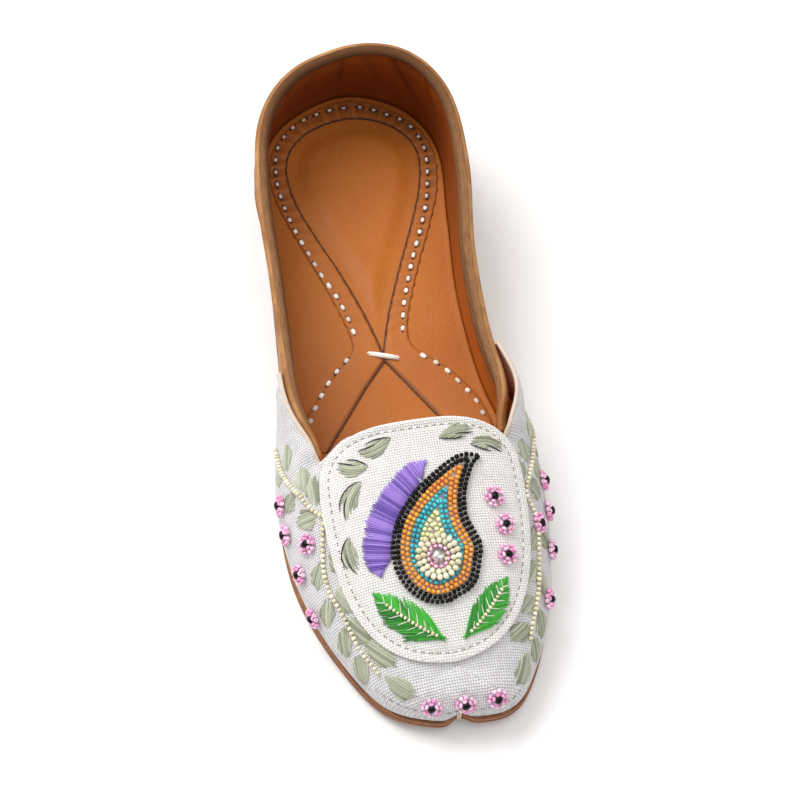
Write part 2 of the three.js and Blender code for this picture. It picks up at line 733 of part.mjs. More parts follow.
function sideFlowerGeometry({ side, round, height }) {
  const u = side === "lateral" ? round : LOOP - round;
  const near = stepsOnSkin(u, atHeight(u, height));
  const sheet = new Sheet();
  sheet.patch(FLOWER_COLUMNS, 1, (i, j) => near(flowerOutline(1 - (i % 1)).multiplyScalar(j)));
  const bottom = CLOTH_TOP + SEAM_GAP;
  return sheet.solid(bottom, bottom + FLOWER_THICK);
}

function apronFlowerGeometry({ x, station }) {
  const bottom = APRON_TOP + SEAM_GAP;
  const middle = new THREE.Vector2(x, station);
  return plaqueGeometry(middle, flowerOutline, [FLOWER_COLUMNS, 1], bottom, bottom + FLOWER_THICK);
}

// Apron motifs.

function motifGeometry(rows, across) {
  const spine = new THREE.SplineCurve(rows.map(({ x, station }) => new THREE.Vector2(x, station)));
  const halves = new THREE.SplineCurve(rows.map(({ half }, i) => new THREE.Vector2(i, half)));
  const sheet = new Sheet();
  sheet.patch(MOTIF_STEPS, across, (i, j) => {
    const tangent = spine.getTangent(i);
    const sideways = new THREE.Vector2(tangent.y, -tangent.x);
    const half = Math.max(0, halves.getPoint(i).y) * (i > 0 && i < 1 ? 1 : 0);
    const p = spine.getPoint(i).addScaledVector(sideways, half * (2 * j - 1));
    return underPlan(p.x, p.y);
  });
  const bottom = APRON_TOP + SEAM_GAP;
  return sheet.solid(bottom, bottom + MOTIF_THICK);
}

function rosetteGeometry() {
  const round = (turn) => {
    const angle = turn * 2 * Math.PI;
    return new THREE.Vector2(Math.cos(angle), Math.sin(angle)).multiplyScalar(ROSETTE.radius);
  };
  const bottom = APRON_TOP + SEAM_GAP + MOTIF_THICK + SEAM_GAP;
  const middle = new THREE.Vector2(ROSETTE.x, ROSETTE.station);
  return plaqueGeometry(middle, round, [ROSETTE_COLUMNS, ROSETTE_ROWS], bottom, bottom + ROSETTE.thick);
}

// Assembly

const group = new THREE.Group();

function add(name, geometry, color, roughness) {
  const material = new THREE.MeshStandardMaterial({ color, roughness, metalness: 0 });
  const mesh = new THREE.Mesh(geometry, material);
  mesh.name = name;
  group.add(mesh);
}

add("outsole", outsoleGeometry(), BROWN_LEATHER, 0.7);
add("insole", insoleGeometry(), TAN_LEATHER, 0.5);
add("insole_ribbon", ribbonGeometry(), TAN_LEATHER, 0.5);
add("upper", upperGeometry(), TAN_LEATHER, 0.5);
add("collar_binding", bindingGeometry(), PALE_LEATHER, 0.7);
add("vamp_cover", vampCoverGeometry(), WHITE_CLOTH, 0.9);
add("apron", apronGeometry(), WHITE_CLOTH, 0.9);
add("motif_paisley", motifGeometry(MOTIFS.motif_paisley, PAISLEY_ROWS), ORANGE_BEADS, 0.4);
add("motif_rosette", rosetteGeometry(), CREAM_BEADS, 0.4);
add("motif_fan", motifGeometry(MOTIFS.motif_fan, MOTIF_ROWS), PURPLE_SILK, 0.5);
add("motif_leaf_lateral", motifGeometry(MOTIFS.motif_leaf_lateral, MOTIF_ROWS), GREEN_SILK, 0.5);
add("motif_leaf_medial", motifGeometry(MOTIFS.motif_leaf_medial, MOTIF_ROWS), GREEN_SILK, 0.5);
for (const flower of FLOWERS) {
  add(flower.name, sideFlowerGeometry(flower), PINK_BEADS, 0.3);
}
for (const flower of APRON_FLOWERS) {
  add(flower.name, apronFlowerGeometry(flower), PINK_BEADS, 0.3);
}

// The origin is under the middle of the whole shoe, on the floor.
const box = new THREE.Box3().setFromObject(group);
const centre = box.getCenter(new THREE.Vector3());
for (const mesh of group.children) {
  mesh.geometry.translate(-centre.x, -centre.y, -box.min.z);
}

export default group;
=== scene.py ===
# %% [markdown]
# # A mojari shoe
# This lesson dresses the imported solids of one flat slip-on shoe: tan leather, white cloth, and an
# apron with bead and silk work. The solids are a fixed frame. Every piece that is made here sits in
# the place of the solid that it stands for, in metres, with its place in its own mesh.

# %% Load the frame
import math

import bpy
import numpy as np
from mathutils import Matrix, Vector


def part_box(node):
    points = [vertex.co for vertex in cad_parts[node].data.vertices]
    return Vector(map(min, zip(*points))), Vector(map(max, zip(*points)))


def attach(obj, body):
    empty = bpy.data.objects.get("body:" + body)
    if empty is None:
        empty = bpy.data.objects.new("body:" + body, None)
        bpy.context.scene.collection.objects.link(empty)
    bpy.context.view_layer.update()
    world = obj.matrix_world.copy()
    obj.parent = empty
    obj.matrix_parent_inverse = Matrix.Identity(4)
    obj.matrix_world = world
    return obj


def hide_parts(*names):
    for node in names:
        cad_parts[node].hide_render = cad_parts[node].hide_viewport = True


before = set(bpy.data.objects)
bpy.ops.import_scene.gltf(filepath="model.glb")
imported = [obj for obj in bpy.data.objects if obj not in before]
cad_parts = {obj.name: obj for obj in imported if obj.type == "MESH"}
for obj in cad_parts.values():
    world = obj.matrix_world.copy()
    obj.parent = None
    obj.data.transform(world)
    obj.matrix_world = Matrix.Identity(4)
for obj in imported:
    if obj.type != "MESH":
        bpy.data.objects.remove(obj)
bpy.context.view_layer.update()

# %% [markdown]
# ## The last
# A shoe is pulled over a last, so one curved surface gives every soft piece its form. Free-hand
# modelling would need each piece to be fitted to its neighbour. Here a short table of sections is
# interpolated round a closed loop, from the toe along the lateral side to the heel and back, and
# all pieces are cut from that skin or laid on it.

# %% Sizes of the shoe in millimetres
SOLE_LENGTH = 251.5
SOLE_THICK = 5.0
SEAM_GAP = 0.3
TOE_SPRING = 4.5
TOE_SPRING_FROM = 48.0
ARCH_RISE = 1.8
ARCH_FRONT = 122.0
ARCH_BACK = 194.0
NOTCH_DEPTH = 3.2
NOTCH_HALF_WIDTH = 3.6
NOTCH_FADE = 5.0
NOTCH_SECTIONS = 3.0
ROLL_OUT = 2.0
ROLL_HEIGHT = 9.0
THROAT_STATION = 87.0
THROAT_BULGE = 5.5
WING_STATION = 122.0
WING_SLANT = 7.0
TOE_FAN = 16.0
HEEL_FAN = 32.0
BELLY_AT = 12.0
FLARE_AT = 46.0
LEATHER_WALL = 1.8
CLOTH_WALL = 1.3
APRON_WALL = 1.2
INSOLE_THICK = 2.4
FOOTBED_GAP = 0.15

# station, lateral edge, medial edge, lip, crown, square, belly, flare, sway, collar
LAST = np.array([
    (0, 5, 5, 2.2, 22.4, 2.2, 0.6, 0, 0, 18),
    (1, -9, 17, 2.2, 22.4, 2.2, 0.6, 0, 0, 18),
    (9, -24.5, 25.6, 2.2, 23.3, 2.25, 1, 0, 0, 19),
    (29, -36.2, 35, 2.2, 30.3, 2.4, 1.6, 0, 0, 24),
    (52, -43.9, 40, 2.2, 38, 2.6, 2.2, 0, 0, 31),
    (76, -46.5, 41.8, 2, 45, 2.8, 2.4, 0, 0, 38),
    (98, -45, 40.4, 1.6, 52, 2.9, 2.2, -0.8, 0.8, 42),
    (124, -39.7, 33.6, 1, 76, 2.8, 1.6, -0.8, -0.5, 42),
    (158, -36.5, 31, 0.7, 96, 2.7, 1, 1, 0.3, 43),
    (192, -34, 33.5, 0.6, 106, 2.6, 1, 3, 0.4, 46),
    (222, -33.5, 35.4, 0.6, 108, 2.6, 1.4, -2.5, 1.1, 50),
    (242, -21.4, 25.2, 0.6, 108, 2.6, 2, -7.5, 1.2, 53),
    (SOLE_LENGTH, 3, 3, 0.6, 108, 2.6, 2.2, -10.9, 0, 54),
])
HEEL = len(LAST) - 1
LOOP = 2 * HEEL
STATION, LATERAL, MEDIAL, LIP, CROWN, SQUARE, BELLY, FLARE, SWAY, COLLAR = LAST.T

def both_sides(lateral, medial=None):
    medial = lateral if medial is None else medial
    return np.concatenate([lateral, medial[-2:0:-1]])

LOOPS = {
    "station": both_sides(STATION),
    "edge": both_sides(LATERAL, MEDIAL),
    "lip": both_sides(LIP),
    "crown": both_sides(CROWN),
    "square": both_sides(SQUARE),
    "belly": both_sides(BELLY),
    "lean": both_sides(FLARE - SWAY, FLARE + SWAY),
    "collar": both_sides(COLLAR),
}
print("sections of the last", len(LAST))

# %% Values round the loop
EDGE_STEP = 0.02

def curve_through(a, b, c, d, f):
    """A smooth curve from b to c at the share f; a and d are the neighbours."""
    early = a * (2 * f**2 - f**3 - f) + b * (3 * f**3 - 5 * f**2 + 2)
    return 0.5 * (early + c * (4 * f**2 - 3 * f**3 + f) + d * (f**3 - f**2))

def around(name, u):
    """A column of the last at u, by a smooth curve through its rows."""
    values = LOOPS[name]
    u = np.asarray(u, float)
    i = np.floor(u).astype(int)
    return curve_through(*(values[(i + k) % LOOP] for k in (-1, 0, 1, 2)), u - i)

def smoothstep(x, low, high):
    s = np.clip((x - low) / (high - low), 0, 1)
    return s * s * (3 - 2 * s)

def unit(vectors):
    return vectors / np.maximum(np.linalg.norm(vectors, axis=-1, keepdims=True), 1e-12)

def sole_lift(station):
    spring = np.maximum(0, 1 - station / TOE_SPRING_FROM)
    along = np.clip((station - ARCH_FRONT) / (ARCH_BACK - ARCH_FRONT), 0, 1)
    return TOE_SPRING * spring**2 + ARCH_RISE * np.sin(np.pi * along) ** 2

def sole_edge(u):
    return np.stack([around("edge", u), around("station", u)], -1)

def sole_inset(u, distance):
    along = unit(sole_edge(u + EDGE_STEP) - sole_edge(u - EDGE_STEP))
    inward = np.stack([along[..., 1], -along[..., 0]], -1)
    return sole_edge(u) + inward * np.asarray(distance)[..., None]

def along_side(u):
    turn = np.mod(u, LOOP)
    return np.minimum(turn, LOOP - turn)

def toe_notch(u):
    depth = NOTCH_DEPTH * np.exp(-((around("edge", u) / NOTCH_HALF_WIDTH) ** 2))
    return np.where(along_side(u) < NOTCH_SECTIONS, depth, 0)

TABLE_U = np.linspace(0, HEEL, 6001)
TABLE_STATION = np.maximum.accumulate(around("station", TABLE_U))

def at_station(station):
    return np.interp(station, TABLE_STATION, TABLE_U)

print("throat at section", round(float(at_station(THROAT_STATION)), 2))

# %% The skin of the last
SKIN_STEP = 0.004
BELOW_RIDGE = 0.985

def ridge_point(u):
    station = around("station", u)
    toe = np.hypot(station, TOE_FAN) - station
    heel = np.hypot(SOLE_LENGTH - station, HEEL_FAN) - (SOLE_LENGTH - station)
    along = station + toe - heel
    section = at_station(along)
    middle = (around("edge", section) + around("edge", LOOP - section)) / 2
    return np.stack([middle, along], -1)

def skin(u, v):
    """The leather's outer face: u round the shoe, v from the sole seam (0) to the ridge (1)."""
    u, v = np.broadcast_arrays(np.asarray(u, float), np.asarray(v, float))
    over = v > 1
    u, v = np.where(over, LOOP - u, u), np.where(over, 2 - v, v)
    seam = sole_inset(u, around("lip", u))
    ridge = ridge_point(u)
    power = 2 / around("square", u)
    angle = np.maximum(v, 0) * np.pi / 2
    run = np.maximum(np.cos(angle), 0) ** power
    base = SOLE_THICK + SEAM_GAP + sole_lift(seam[..., 1])
    up = (around("crown", u) - base) * np.sin(angle) ** power
    belly = around("belly", u) * (up / BELLY_AT) * np.exp(1 - up / BELLY_AT)
    notch = toe_notch(u) * np.exp(-up / NOTCH_FADE)
    quarter = smoothstep(seam[..., 1], THROAT_STATION, WING_STATION)
    rolled = ROLL_OUT * quarter * smoothstep(base + up - around("collar", u), -ROLL_HEIGHT, 0)
    swell = (belly - notch + rolled + around("lean", u) * up / FLARE_AT) * run
    out = seam - ridge
    plan = ridge + out * (run + swell / np.linalg.norm(out, axis=-1))[..., None]
    return np.concatenate([plan - (0, SOLE_LENGTH / 2), (base + up)[..., None]], -1)

def skin_normal(u, v):
    """The outward direction, taken a little below the ridge where both sides meet."""
    v = np.clip(v, 2 * SKIN_STEP, BELOW_RIDGE)
    along = skin(u + SKIN_STEP, v) - skin(u - SKIN_STEP, v)
    climb = skin(u, v + SKIN_STEP) - skin(u, v - SKIN_STEP)
    return unit(np.cross(climb, along))

def at_height(u, height):
    base = SOLE_THICK + SEAM_GAP + sole_lift(around("station", u))
    share = np.clip((height - base) / (around("crown", u) - base), 0, 1)
    return np.arcsin(share ** (around("square", u) / 2)) / (np.pi / 2)

print("ridge at the throat, mm", skin(at_station(THROAT_STATION), 1.0).round(1))

# %% From the plan to the skin
NEWTON_STEPS = 18
NEWTON_STEP = 0.002
START_STATION, START_V = 6, 0.7
MOST_U, MOST_V = 0.5, 0.15
LOWEST_V, HIGHEST_V = 0.05, 0.999

def under_plan(x, station):
    """Which (u, v) of the skin lies under a point of the plan, by Newton steps."""
    x, station = np.broadcast_arrays(np.asarray(x, float), np.asarray(station, float))
    start = at_station(np.maximum(station, START_STATION))
    u = np.where(x < ridge_point(at_station(station))[..., 0], start, LOOP - start)
    v = np.full(u.shape, START_V)
    wanted = np.stack([x, station - SOLE_LENGTH / 2], -1)
    for _ in range(NEWTON_STEPS):
        here = skin(u, v)[..., :2]
        miss = here - wanted
        du = (skin(u + NEWTON_STEP, v)[..., :2] - here) / NEWTON_STEP
        dv = (here - skin(u, v - NEWTON_STEP)[..., :2]) / NEWTON_STEP
        det = du[..., 0] * dv[..., 1] - dv[..., 0] * du[..., 1]
        along = (miss[..., 0] * dv[..., 1] - dv[..., 0] * miss[..., 1]) / det
        climb = (du[..., 0] * miss[..., 1] - miss[..., 0] * du[..., 1]) / det
        u = u - np.clip(along, -MOST_U, MOST_U)
        v = np.clip(v - np.clip(climb, -MOST_V, MOST_V), LOWEST_V, HIGHEST_V)
    return u, v

outline = sole_edge(np.linspace(0, LOOP, 4801))
sole_low, sole_high = (np.array(corner) * 1000 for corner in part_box("outsole"))
SHIFT = np.array([
    (sole_low[0] + sole_high[0] - outline[:, 0].min() - outline[:, 0].max()) / 2,
    sole_high[1] - SOLE_LENGTH / 2,
    0.0,
])
print("shoe axes to frame, mm", SHIFT.round(3))

# %% [markdown]
# ## Camera and light
# The camera stands where the picture was taken from: above the toe, about 62 degrees over the
# floor and a little to one side. It is turned to the shoe, and the lens is long, so the shoe keeps
# its proportions. Two large lamps and a white sky give a soft light. The floor comes last.

# %% Camera
CAMERA_PLACE = (-144.3, -459.6, 1147.8)
VIEW_AHEAD = Vector((0.0759, 0.4633, -0.883))
VIEW_RIGHT = Vector((0.9869, -0.1616, 0.0))
AIM = (0.0, 116.0, 22.0)
LENS_MM = 166.0
SENSOR_MM = 36.0

def to_frame(points):
    return (np.asarray(points, float) + SHIFT) / 1000

def shoe_point(x, station, height):
    return Vector(to_frame((x, station - SOLE_LENGTH / 2, height)))

camera = bpy.data.objects.new("camera", bpy.data.cameras.new("camera"))
bpy.context.scene.collection.objects.link(camera)
camera.location = shoe_point(*CAMERA_PLACE)
level = Matrix((VIEW_RIGHT, VIEW_RIGHT.cross(VIEW_AHEAD), -VIEW_AHEAD)).transposed()
turn = VIEW_AHEAD.rotation_difference(shoe_point(*AIM) - camera.location)
camera.rotation_mode = "QUATERNION"
camera.rotation_quaternion = turn @ level.to_quaternion()
camera.data.lens = LENS_MM
camera.data.sensor_width = SENSOR_MM
bpy.context.scene.camera = camera
print("camera", [round(c, 3) for c in camera.location])

# %% Lamps and sky
def add_lamp(name, place, size, power):
    """A round lamp that looks at the middle of the shoe."""
    lamp = bpy.data.lights.new(name, "AREA")
    lamp.shape = "DISK"
    lamp.size = size
    lamp.energy = power
    holder = bpy.data.objects.new(name, lamp)
    holder.location = place
    holder.rotation_mode = "QUATERNION"
    holder.rotation_quaternion = (-Vector(place)).to_track_quat("-Z", "Y")
    bpy.context.scene.collection.objects.link(holder)

add_lamp("key_lamp", place=(-0.68, 0.72, 1.38), size=1.2, power=26)
add_lamp("top_lamp", place=(0.3, -0.3, 1.7), size=1.4, power=10)
bpy.context.scene.view_settings.view_transform = "Standard"
sky = bpy.data.worlds.new("studio")
bpy.context.scene.world = sky
sky.use_nodes = True
backdrop = sky.node_tree.nodes["Background"].inputs
backdrop["Color"].default_value = (1, 1, 1, 1)
backdrop["Strength"].default_value = 0.5

# %% [markdown]
# ## Shader sums
# A finish is easier to read as a sum than as a picture of boxes. The class below wraps one socket
# of a node tree: plus, minus and times on it add Math nodes, and one method adds any other node.

# %% A socket that can be used in sums
def plug(tree, socket, value):
    """Gives a socket a value, or links another socket to it."""
    if isinstance(value, Signal):
        tree.links.new(value.socket, socket)
    elif isinstance(value, bpy.types.NodeSocket):
        tree.links.new(value, socket)
    else:
        socket.default_value = value

class Signal:
    """A socket of a node tree."""

    def __init__(self, tree, socket=None):
        self.tree = tree
        self.socket = socket

    def node(self, kind, settings=None, values=None, output=0):
        made = self.tree.nodes.new(kind)
        for name, value in (settings or {}).items():
            setattr(made, name, value)
        sockets = {s.identifier: s for s in made.inputs}
        for key, value in (values or {}).items():
            plug(self.tree, made.inputs[key] if isinstance(key, int) else sockets[key], value)
        return Signal(self.tree, made.outputs[output])

    def math(self, operation, *values):
        return self.node("ShaderNodeMath", {"operation": operation}, dict(enumerate(values)))

    def __add__(self, other):
        return self.math("ADD", self, other)

    __radd__ = __add__

    def __sub__(self, other):
        return self.math("SUBTRACT", self, other)

    def __rsub__(self, other):
        return self.math("SUBTRACT", other, self)

    def __mul__(self, other):
        return self.math("MULTIPLY", self, other)

    __rmul__ = __mul__

    def sine(self):
        return self.math("SINE", self)

    def unsigned(self):
        return self.math("ABSOLUTE", self)

    def between(self, low, high):
        """0 below low and 1 above high."""
        values = {"Value": self, "From Min": low, "From Max": high}
        return self.node("ShaderNodeMapRange", {"interpolation_type": "SMOOTHSTEP"}, values)

    def blend(self, one, two):
        """A colour from one to two, with this signal as the share."""
        values = {"Factor_Float": self, "A_Color": one, "B_Color": two}
        return self.node("ShaderNodeMix", {"data_type": "RGBA"}, values, output=2)

def colour(red, green, blue):
    """A colour from screen values, 0 to 255."""
    return tuple(((c / 255 + 0.055) / 1.055) ** 2.4 for c in (red, green, blue)) + (1.0,)

class Finish:
    """A material with its shader, and the places that its patterns read."""

    def __init__(self, name, **constants):
        self.material = bpy.data.materials.new(name)
        self.material.use_nodes = True
        self.tree = self.material.node_tree
        self.shader = self.tree.nodes["Principled BSDF"]
        self.start = Signal(self.tree)
        for socket, value in constants.items():
            self.shader.inputs[socket.replace("_", " ")].default_value = value

    def place(self):
        return self.start.node("ShaderNodeTexCoord", output=3)

    def uv(self):
        return self.start.node("ShaderNodeUVMap")

    def mark(self, name):
        return self.start.node("ShaderNodeAttribute", {"attribute_name": name}, output=2)

    def parts(self, vector):
        split = self.tree.nodes.new("ShaderNodeSeparateXYZ")
        plug(self.tree, split.inputs[0], vector)
        return [Signal(self.tree, s) for s in split.outputs]

    def noise(self, vector, per_metre, detail=3.0, rough=0.5):
        values = {"Vector": vector, "Scale": per_metre, "Detail": detail, "Roughness": rough}
        return self.start.node("ShaderNodeTexNoise", None, values)

    def feed(self, **signals):
        for socket, signal in signals.items():
            plug(self.tree, self.shader.inputs[socket.replace("_", " ")], signal)

    def relief(self, height, distance, strength=1.0):
        values = {"Height": height, "Distance": distance, "Strength": strength}
        self.feed(Normal=self.start.node("ShaderNodeBump", None, values))

print("shader sums ready")

# %% [markdown]
# ## Leather finishes
# The quarter, footbed and ribbon are one vegetable-tanned hide: an orange tan, with fine pores, a
# soft satin shine and cloudy darker places. The folded strip on the topline shows its rough flesh
# side. A hide has no direction, so its patterns read Object coordinates. Only the drawn fibres of
# the strip follow its length, by a UV map in millimetres.

# %% Tan leather
TAN = colour(176, 98, 30)
TAN_DARK = colour(134, 60, 14)
TAN_LIGHT = colour(187, 111, 42)
# dark colour of stained wear, also used for painted shade in creases, wrinkles and stitch dimples
STAIN_AND_SHADE = colour(112, 62, 30)
# where the lining turns from its front colour to its darker heel colours, which are painted shade, in
# metres
LINING_SHADE_OVER = (0.0, 0.085)
# how many clouds, scuffs, grains and pores of the hide there are to a metre
CLOUDS, SCUFFS, GRAINS, PORES = 26, 140, 900, 1500.0

def tan_leather(name, light, dark, shine, front=None, stain_and_shade=STAIN_AND_SHADE):
    finish = Finish(name, Specular_IOR_Level=0.27)
    place = finish.place()
    cloud = finish.noise(place, CLOUDS, 4, 0.55)
    pores = finish.start.node("ShaderNodeTexVoronoi", None, {"Vector": place, "Scale": PORES})
    grain = finish.noise(place, GRAINS, 4, 0.6)
    scuff = finish.noise(place, SCUFFS, 3, 0.65)
    hide = cloud.between(0.1, 0.9).blend(dark, light)
    # towards the heel the hide keeps its darker colours: painted shade inside the heel
    if front is not None:
        hide = finish.parts(place)[1].between(*LINING_SHADE_OVER).blend(front, hide)
    fine = (grain * 0.5 + scuff * 0.5).between(0.35, 0.75)
    rubbed = fine.blend((0.7, 0.62, 0.55, 1), (1, 1, 1, 1))
    hue = finish.start.node(
        "ShaderNodeMix",
        {"data_type": "RGBA", "blend_type": "MULTIPLY"},
        {"Factor_Float": 0.35, "A_Color": hide, "B_Color": rubbed},
        output=2,
    )
    # this mark darkens wear on cut edges, and paints shade in creases, wrinkles and round stitches
    worn = finish.mark("worn")
    finish.feed(
        Base_Color=worn.blend(hue, stain_and_shade),
        Roughness=shine + 0.2 * scuff + 0.12 * worn,
    )
    finish.relief(pores * 0.35 + grain * 0.6 + scuff * 0.5, 0.00035, 0.6)
    return finish.material

TAN_LEATHER = tan_leather("tan_leather", TAN_LIGHT, TAN, 0.4)
# the lining's own colours are darkened as painted shade inside the heel; its front colour is near the
# footbed's tan
LINING_LEATHER = tan_leather(
    "lining_leather", colour(158, 80, 24), TAN_DARK, 0.36,
    # its nearly black stain colour serves its cut edges and the painted shade of its creases
    front=colour(192, 106, 31), stain_and_shade=colour(58, 20, 6),
)
RIBBON_LEATHER = tan_leather("ribbon_leather", colour(189, 113, 50), colour(175, 99, 35), 0.42)
print("leathers", TAN_LEATHER.name, LINING_LEATHER.name)

# %% Folded strip and sole leather
# fibres of the strip to a millimetre along it and across it
FIBRES_ALONG, FIBRES_ACROSS = 0.2, 2.3
# where the strip darkens towards the heel, in metres
HEEL_SHADE = (0.06, 0.118)
# layers in the cut edge of the sole, as turns of a sine to a metre
SOLE_LAYERS = 2600

def pale_leather():
    finish = Finish("pale_leather", Specular_IOR_Level=0.22)
    place = finish.place()
    along, across, _ = finish.parts(finish.uv())
    drawn = {"X": along * FIBRES_ALONG, "Y": across * FIBRES_ACROSS}
    nap = finish.noise(place, 2600, 4, 0.7)
    cloudy = finish.noise(place, 90, 3, 0.6)
    fibre = finish.noise(finish.start.node("ShaderNodeCombineXYZ", None, drawn), 1.0, 4, 0.6)
    smooth = cloudy.between(0.3, 0.75).blend(colour(148, 98, 54), colour(182, 134, 86))
    rough = (nap * 0.45 + fibre * 0.55).between(0.28, 0.72)
    suede = rough.blend(colour(106, 70, 42), colour(166, 121, 82))
    heel = finish.parts(place)[1].between(*HEEL_SHADE)
    suede = (heel * 0.72).blend(suede, colour(80, 46, 22))
    inside = finish.mark("inside").between(0.35, 0.75)
    finish.feed(Base_Color=inside.blend(smooth, suede), Roughness=0.55 + 0.35 * inside)
    finish.relief(nap * (0.35 + 0.9 * inside) + fibre * 0.5, 0.0004, 0.7)
    return finish.material

def sole_leather():
    finish = Finish("sole_leather", Specular_IOR_Level=0.3)
    place = finish.place()
    height = finish.parts(place)[2]
    fibre = finish.noise(place, 240, 4, 0.65)
    layers = (height * SOLE_LAYERS + fibre * 2.2).sine()
    edge = (layers * 0.25 + fibre).between(0.2, 0.95).blend(colour(112, 70, 44), colour(172, 116, 76))
    finish.feed(Base_Color=edge, Roughness=0.62 + 0.2 * fibre)
    finish.relief(layers * 0.3 + fibre, 0.0005, 0.6)
    return finish.material

PALE_LEATHER = pale_leather()
SOLE_LEATHER = sole_leather()
print("leathers", PALE_LEATHER.name, SOLE_LEATHER.name)

# %% [markdown]
# ## Cloth finishes
# The vamp is an open white net over a white ground, and the apron is a coarse linen. A weave
# follows its cloth, so these patterns read a UV map that holds millimetres along the threads. Each
# thread is a sine across its width, and a checker of the two decides which one lies on top.

# %% White weaves
def white_weave(name, pitch, openness, depth, tint, light, shadow, backing):
    """Threads a pitch apart in millimetres, from tint to light, with darker gaps and another back."""
    finish = Finish(name, Specular_IOR_Level=0.15, Sheen_Weight=0.2)
    across, along, _ = finish.parts(finish.uv())
    wobble = finish.noise(finish.place(), 120, 2, 0.5) * (pitch * 0.5)
    turn = math.pi / pitch
    first = ((across + wobble) * turn).sine()
    second = ((along + wobble) * turn).sine()
    warp, weft = first.unsigned(), second.unsigned()
    over = (first * second).between(-0.35, 0.35)
    height = over * warp + (1 - over) * weft
    hole = (1 - warp.math("MAXIMUM", warp, weft)).between(0.05, openness)
    slub = finish.noise(finish.place(), 300, 3, 0.6)
    thread = slub.between(0.3, 0.7).blend(tint, light)
    front = (hole * depth + (1 - height) * 0.2).blend(thread, shadow)
    behind = finish.mark("behind").between(0.6, 0.9)
    back = slub.blend(backing, TAN)
    finish.feed(Base_Color=behind.blend(front, back), Roughness=0.86 + 0.1 * slub)
    finish.relief(height + slub * 0.3, 0.0005, 0.8)
    return finish.material

# the net's backing is the lining's brown painted much lighter: painted light in the shaded gap under
# the wings
NET_CLOTH = white_weave(
    "net_cloth", pitch=0.88, openness=0.62, depth=0.8, tint=colour(225, 222, 223),
    light=colour(241, 239, 240), shadow=colour(182, 178, 180), backing=colour(240, 140, 96),
)
LINEN_CLOTH = white_weave(
    "linen_cloth", pitch=0.85, openness=0.6, depth=0.6, tint=colour(240, 237, 232),
    light=colour(252, 250, 247), shadow=colour(206, 201, 196), backing=colour(226, 222, 216),
)
print("weaves", NET_CLOTH.name, LINEN_CLOTH.name)

# %% [markdown]
# ## Thread, silk and bead finishes
# Every strand and bead carries a small number of its own, its shade. The finish mixes two colours
# with it, so a satin leaf or a row of beads is never one flat colour.

# %% Threads and beads
# twists of a thread and clouds in glass, to a metre
TWISTS, GLASS_CLOUDS = 1600, 700

def silk(name, dark, light):
    finish = Finish(name, Specular_IOR_Level=0.36, Sheen_Weight=0.3)
    shade = finish.mark("shade")
    twist = finish.noise(finish.place(), TWISTS, 2, 0.6)
    hue = (shade * 0.75 + twist * 0.35).between(0.1, 0.95).blend(colour(*dark), colour(*light))
    finish.feed(Base_Color=hue, Roughness=0.42 + 0.25 * twist)
    finish.relief(twist, 0.0002, 0.5)
    return finish.material

def glass_bead(name, dark, light, rough=0.14, coat=0.6, gloss=0.6):
    finish = Finish(name, Specular_IOR_Level=gloss, Coat_Weight=coat, Coat_Roughness=0.06)
    shade = finish.mark("shade")
    cloud = finish.noise(finish.place(), GLASS_CLOUDS, 2, 0.5)
    hue = (shade * 0.7 + cloud * 0.4).between(0.1, 0.95).blend(colour(*dark), colour(*light))
    finish.feed(Base_Color=hue, Roughness=rough + 0.12 * cloud)
    return finish.material

SAGE_SILK = silk("sage_silk", (130, 134, 110), (194, 196, 174))
GREEN_SILK = silk("green_silk", (12, 102, 14), (66, 184, 52))
PURPLE_SILK = silk("purple_silk", (96, 66, 160), (166, 134, 218))
WHITE_THREAD = silk("white_thread", (214, 206, 190), (250, 246, 238))
BEIGE_THREAD = silk("beige_thread", (182, 162, 144), (222, 204, 188))
BLACK_THREAD = silk("black_thread", (10, 10, 10), (44, 42, 42))
# dark brown for cut edges, and for painted shade at the ribbon's step and in needle holes
DARK_CUT_AND_SHADE = silk("dark_cut_and_shade", (40, 18, 6), (84, 42, 16))
# grey for painted shade: the apron's needle holes and the thread shadows on the toe
GREY_SHADE = silk("grey_painted_shade", (120, 116, 112), (168, 164, 158))
CREAM_BEAD = glass_bead("cream_bead", (208, 197, 156), (241, 235, 209), 0.2, 0.5)
PINK_BEAD = glass_bead("pink_bead", (236, 134, 194), (255, 212, 236), 0.12, 0.9)
BLACK_BEAD = glass_bead("black_bead", (2, 2, 2), (11, 11, 11), 0.26, 0.04, 0.18)
ORANGE_BEAD = glass_bead("orange_bead", (236, 128, 8), (255, 172, 40), 0.22, 0.5)
TURQUOISE_BEAD = glass_bead("turquoise_bead", (4, 138, 160), (44, 196, 208), 0.22, 0.5)
LEMON_BEAD = glass_bead("lemon_bead", (222, 220, 140), (248, 246, 190), 0.22, 0.5)
print("threads and beads", len(bpy.data.materials))

# %% [markdown]
# ## Pieces as plain meshes
# A leather or cloth panel is a patch of the skin with two faces and a rounded rim. A Solidify
# modifier could give the wall, but not a wall that changes and stays level on the sole. So the two
# faces are offset along the skin's normals here, and half-round rings close the open edges.

# %% Smooth lines and equal steps along them
def smooth_line(rows, steps=24):
    """A smooth open curve through rows of numbers."""
    rows = np.asarray(rows, float)
    padded = np.concatenate([2 * rows[:1] - rows[1:2], rows, 2 * rows[-1:] - rows[-2:-1]])
    f = np.linspace(0, 1, steps, endpoint=False)[:, None]
    spans = zip(padded, padded[1:], padded[2:], padded[3:])
    return np.concatenate([curve_through(*span, f) for span in spans] + [rows[-1:]])

def run_length(points):
    """Length along a line of points, from its start to each of them."""
    return np.concatenate([[0], np.cumsum(np.linalg.norm(np.diff(points, axis=0), axis=1))])

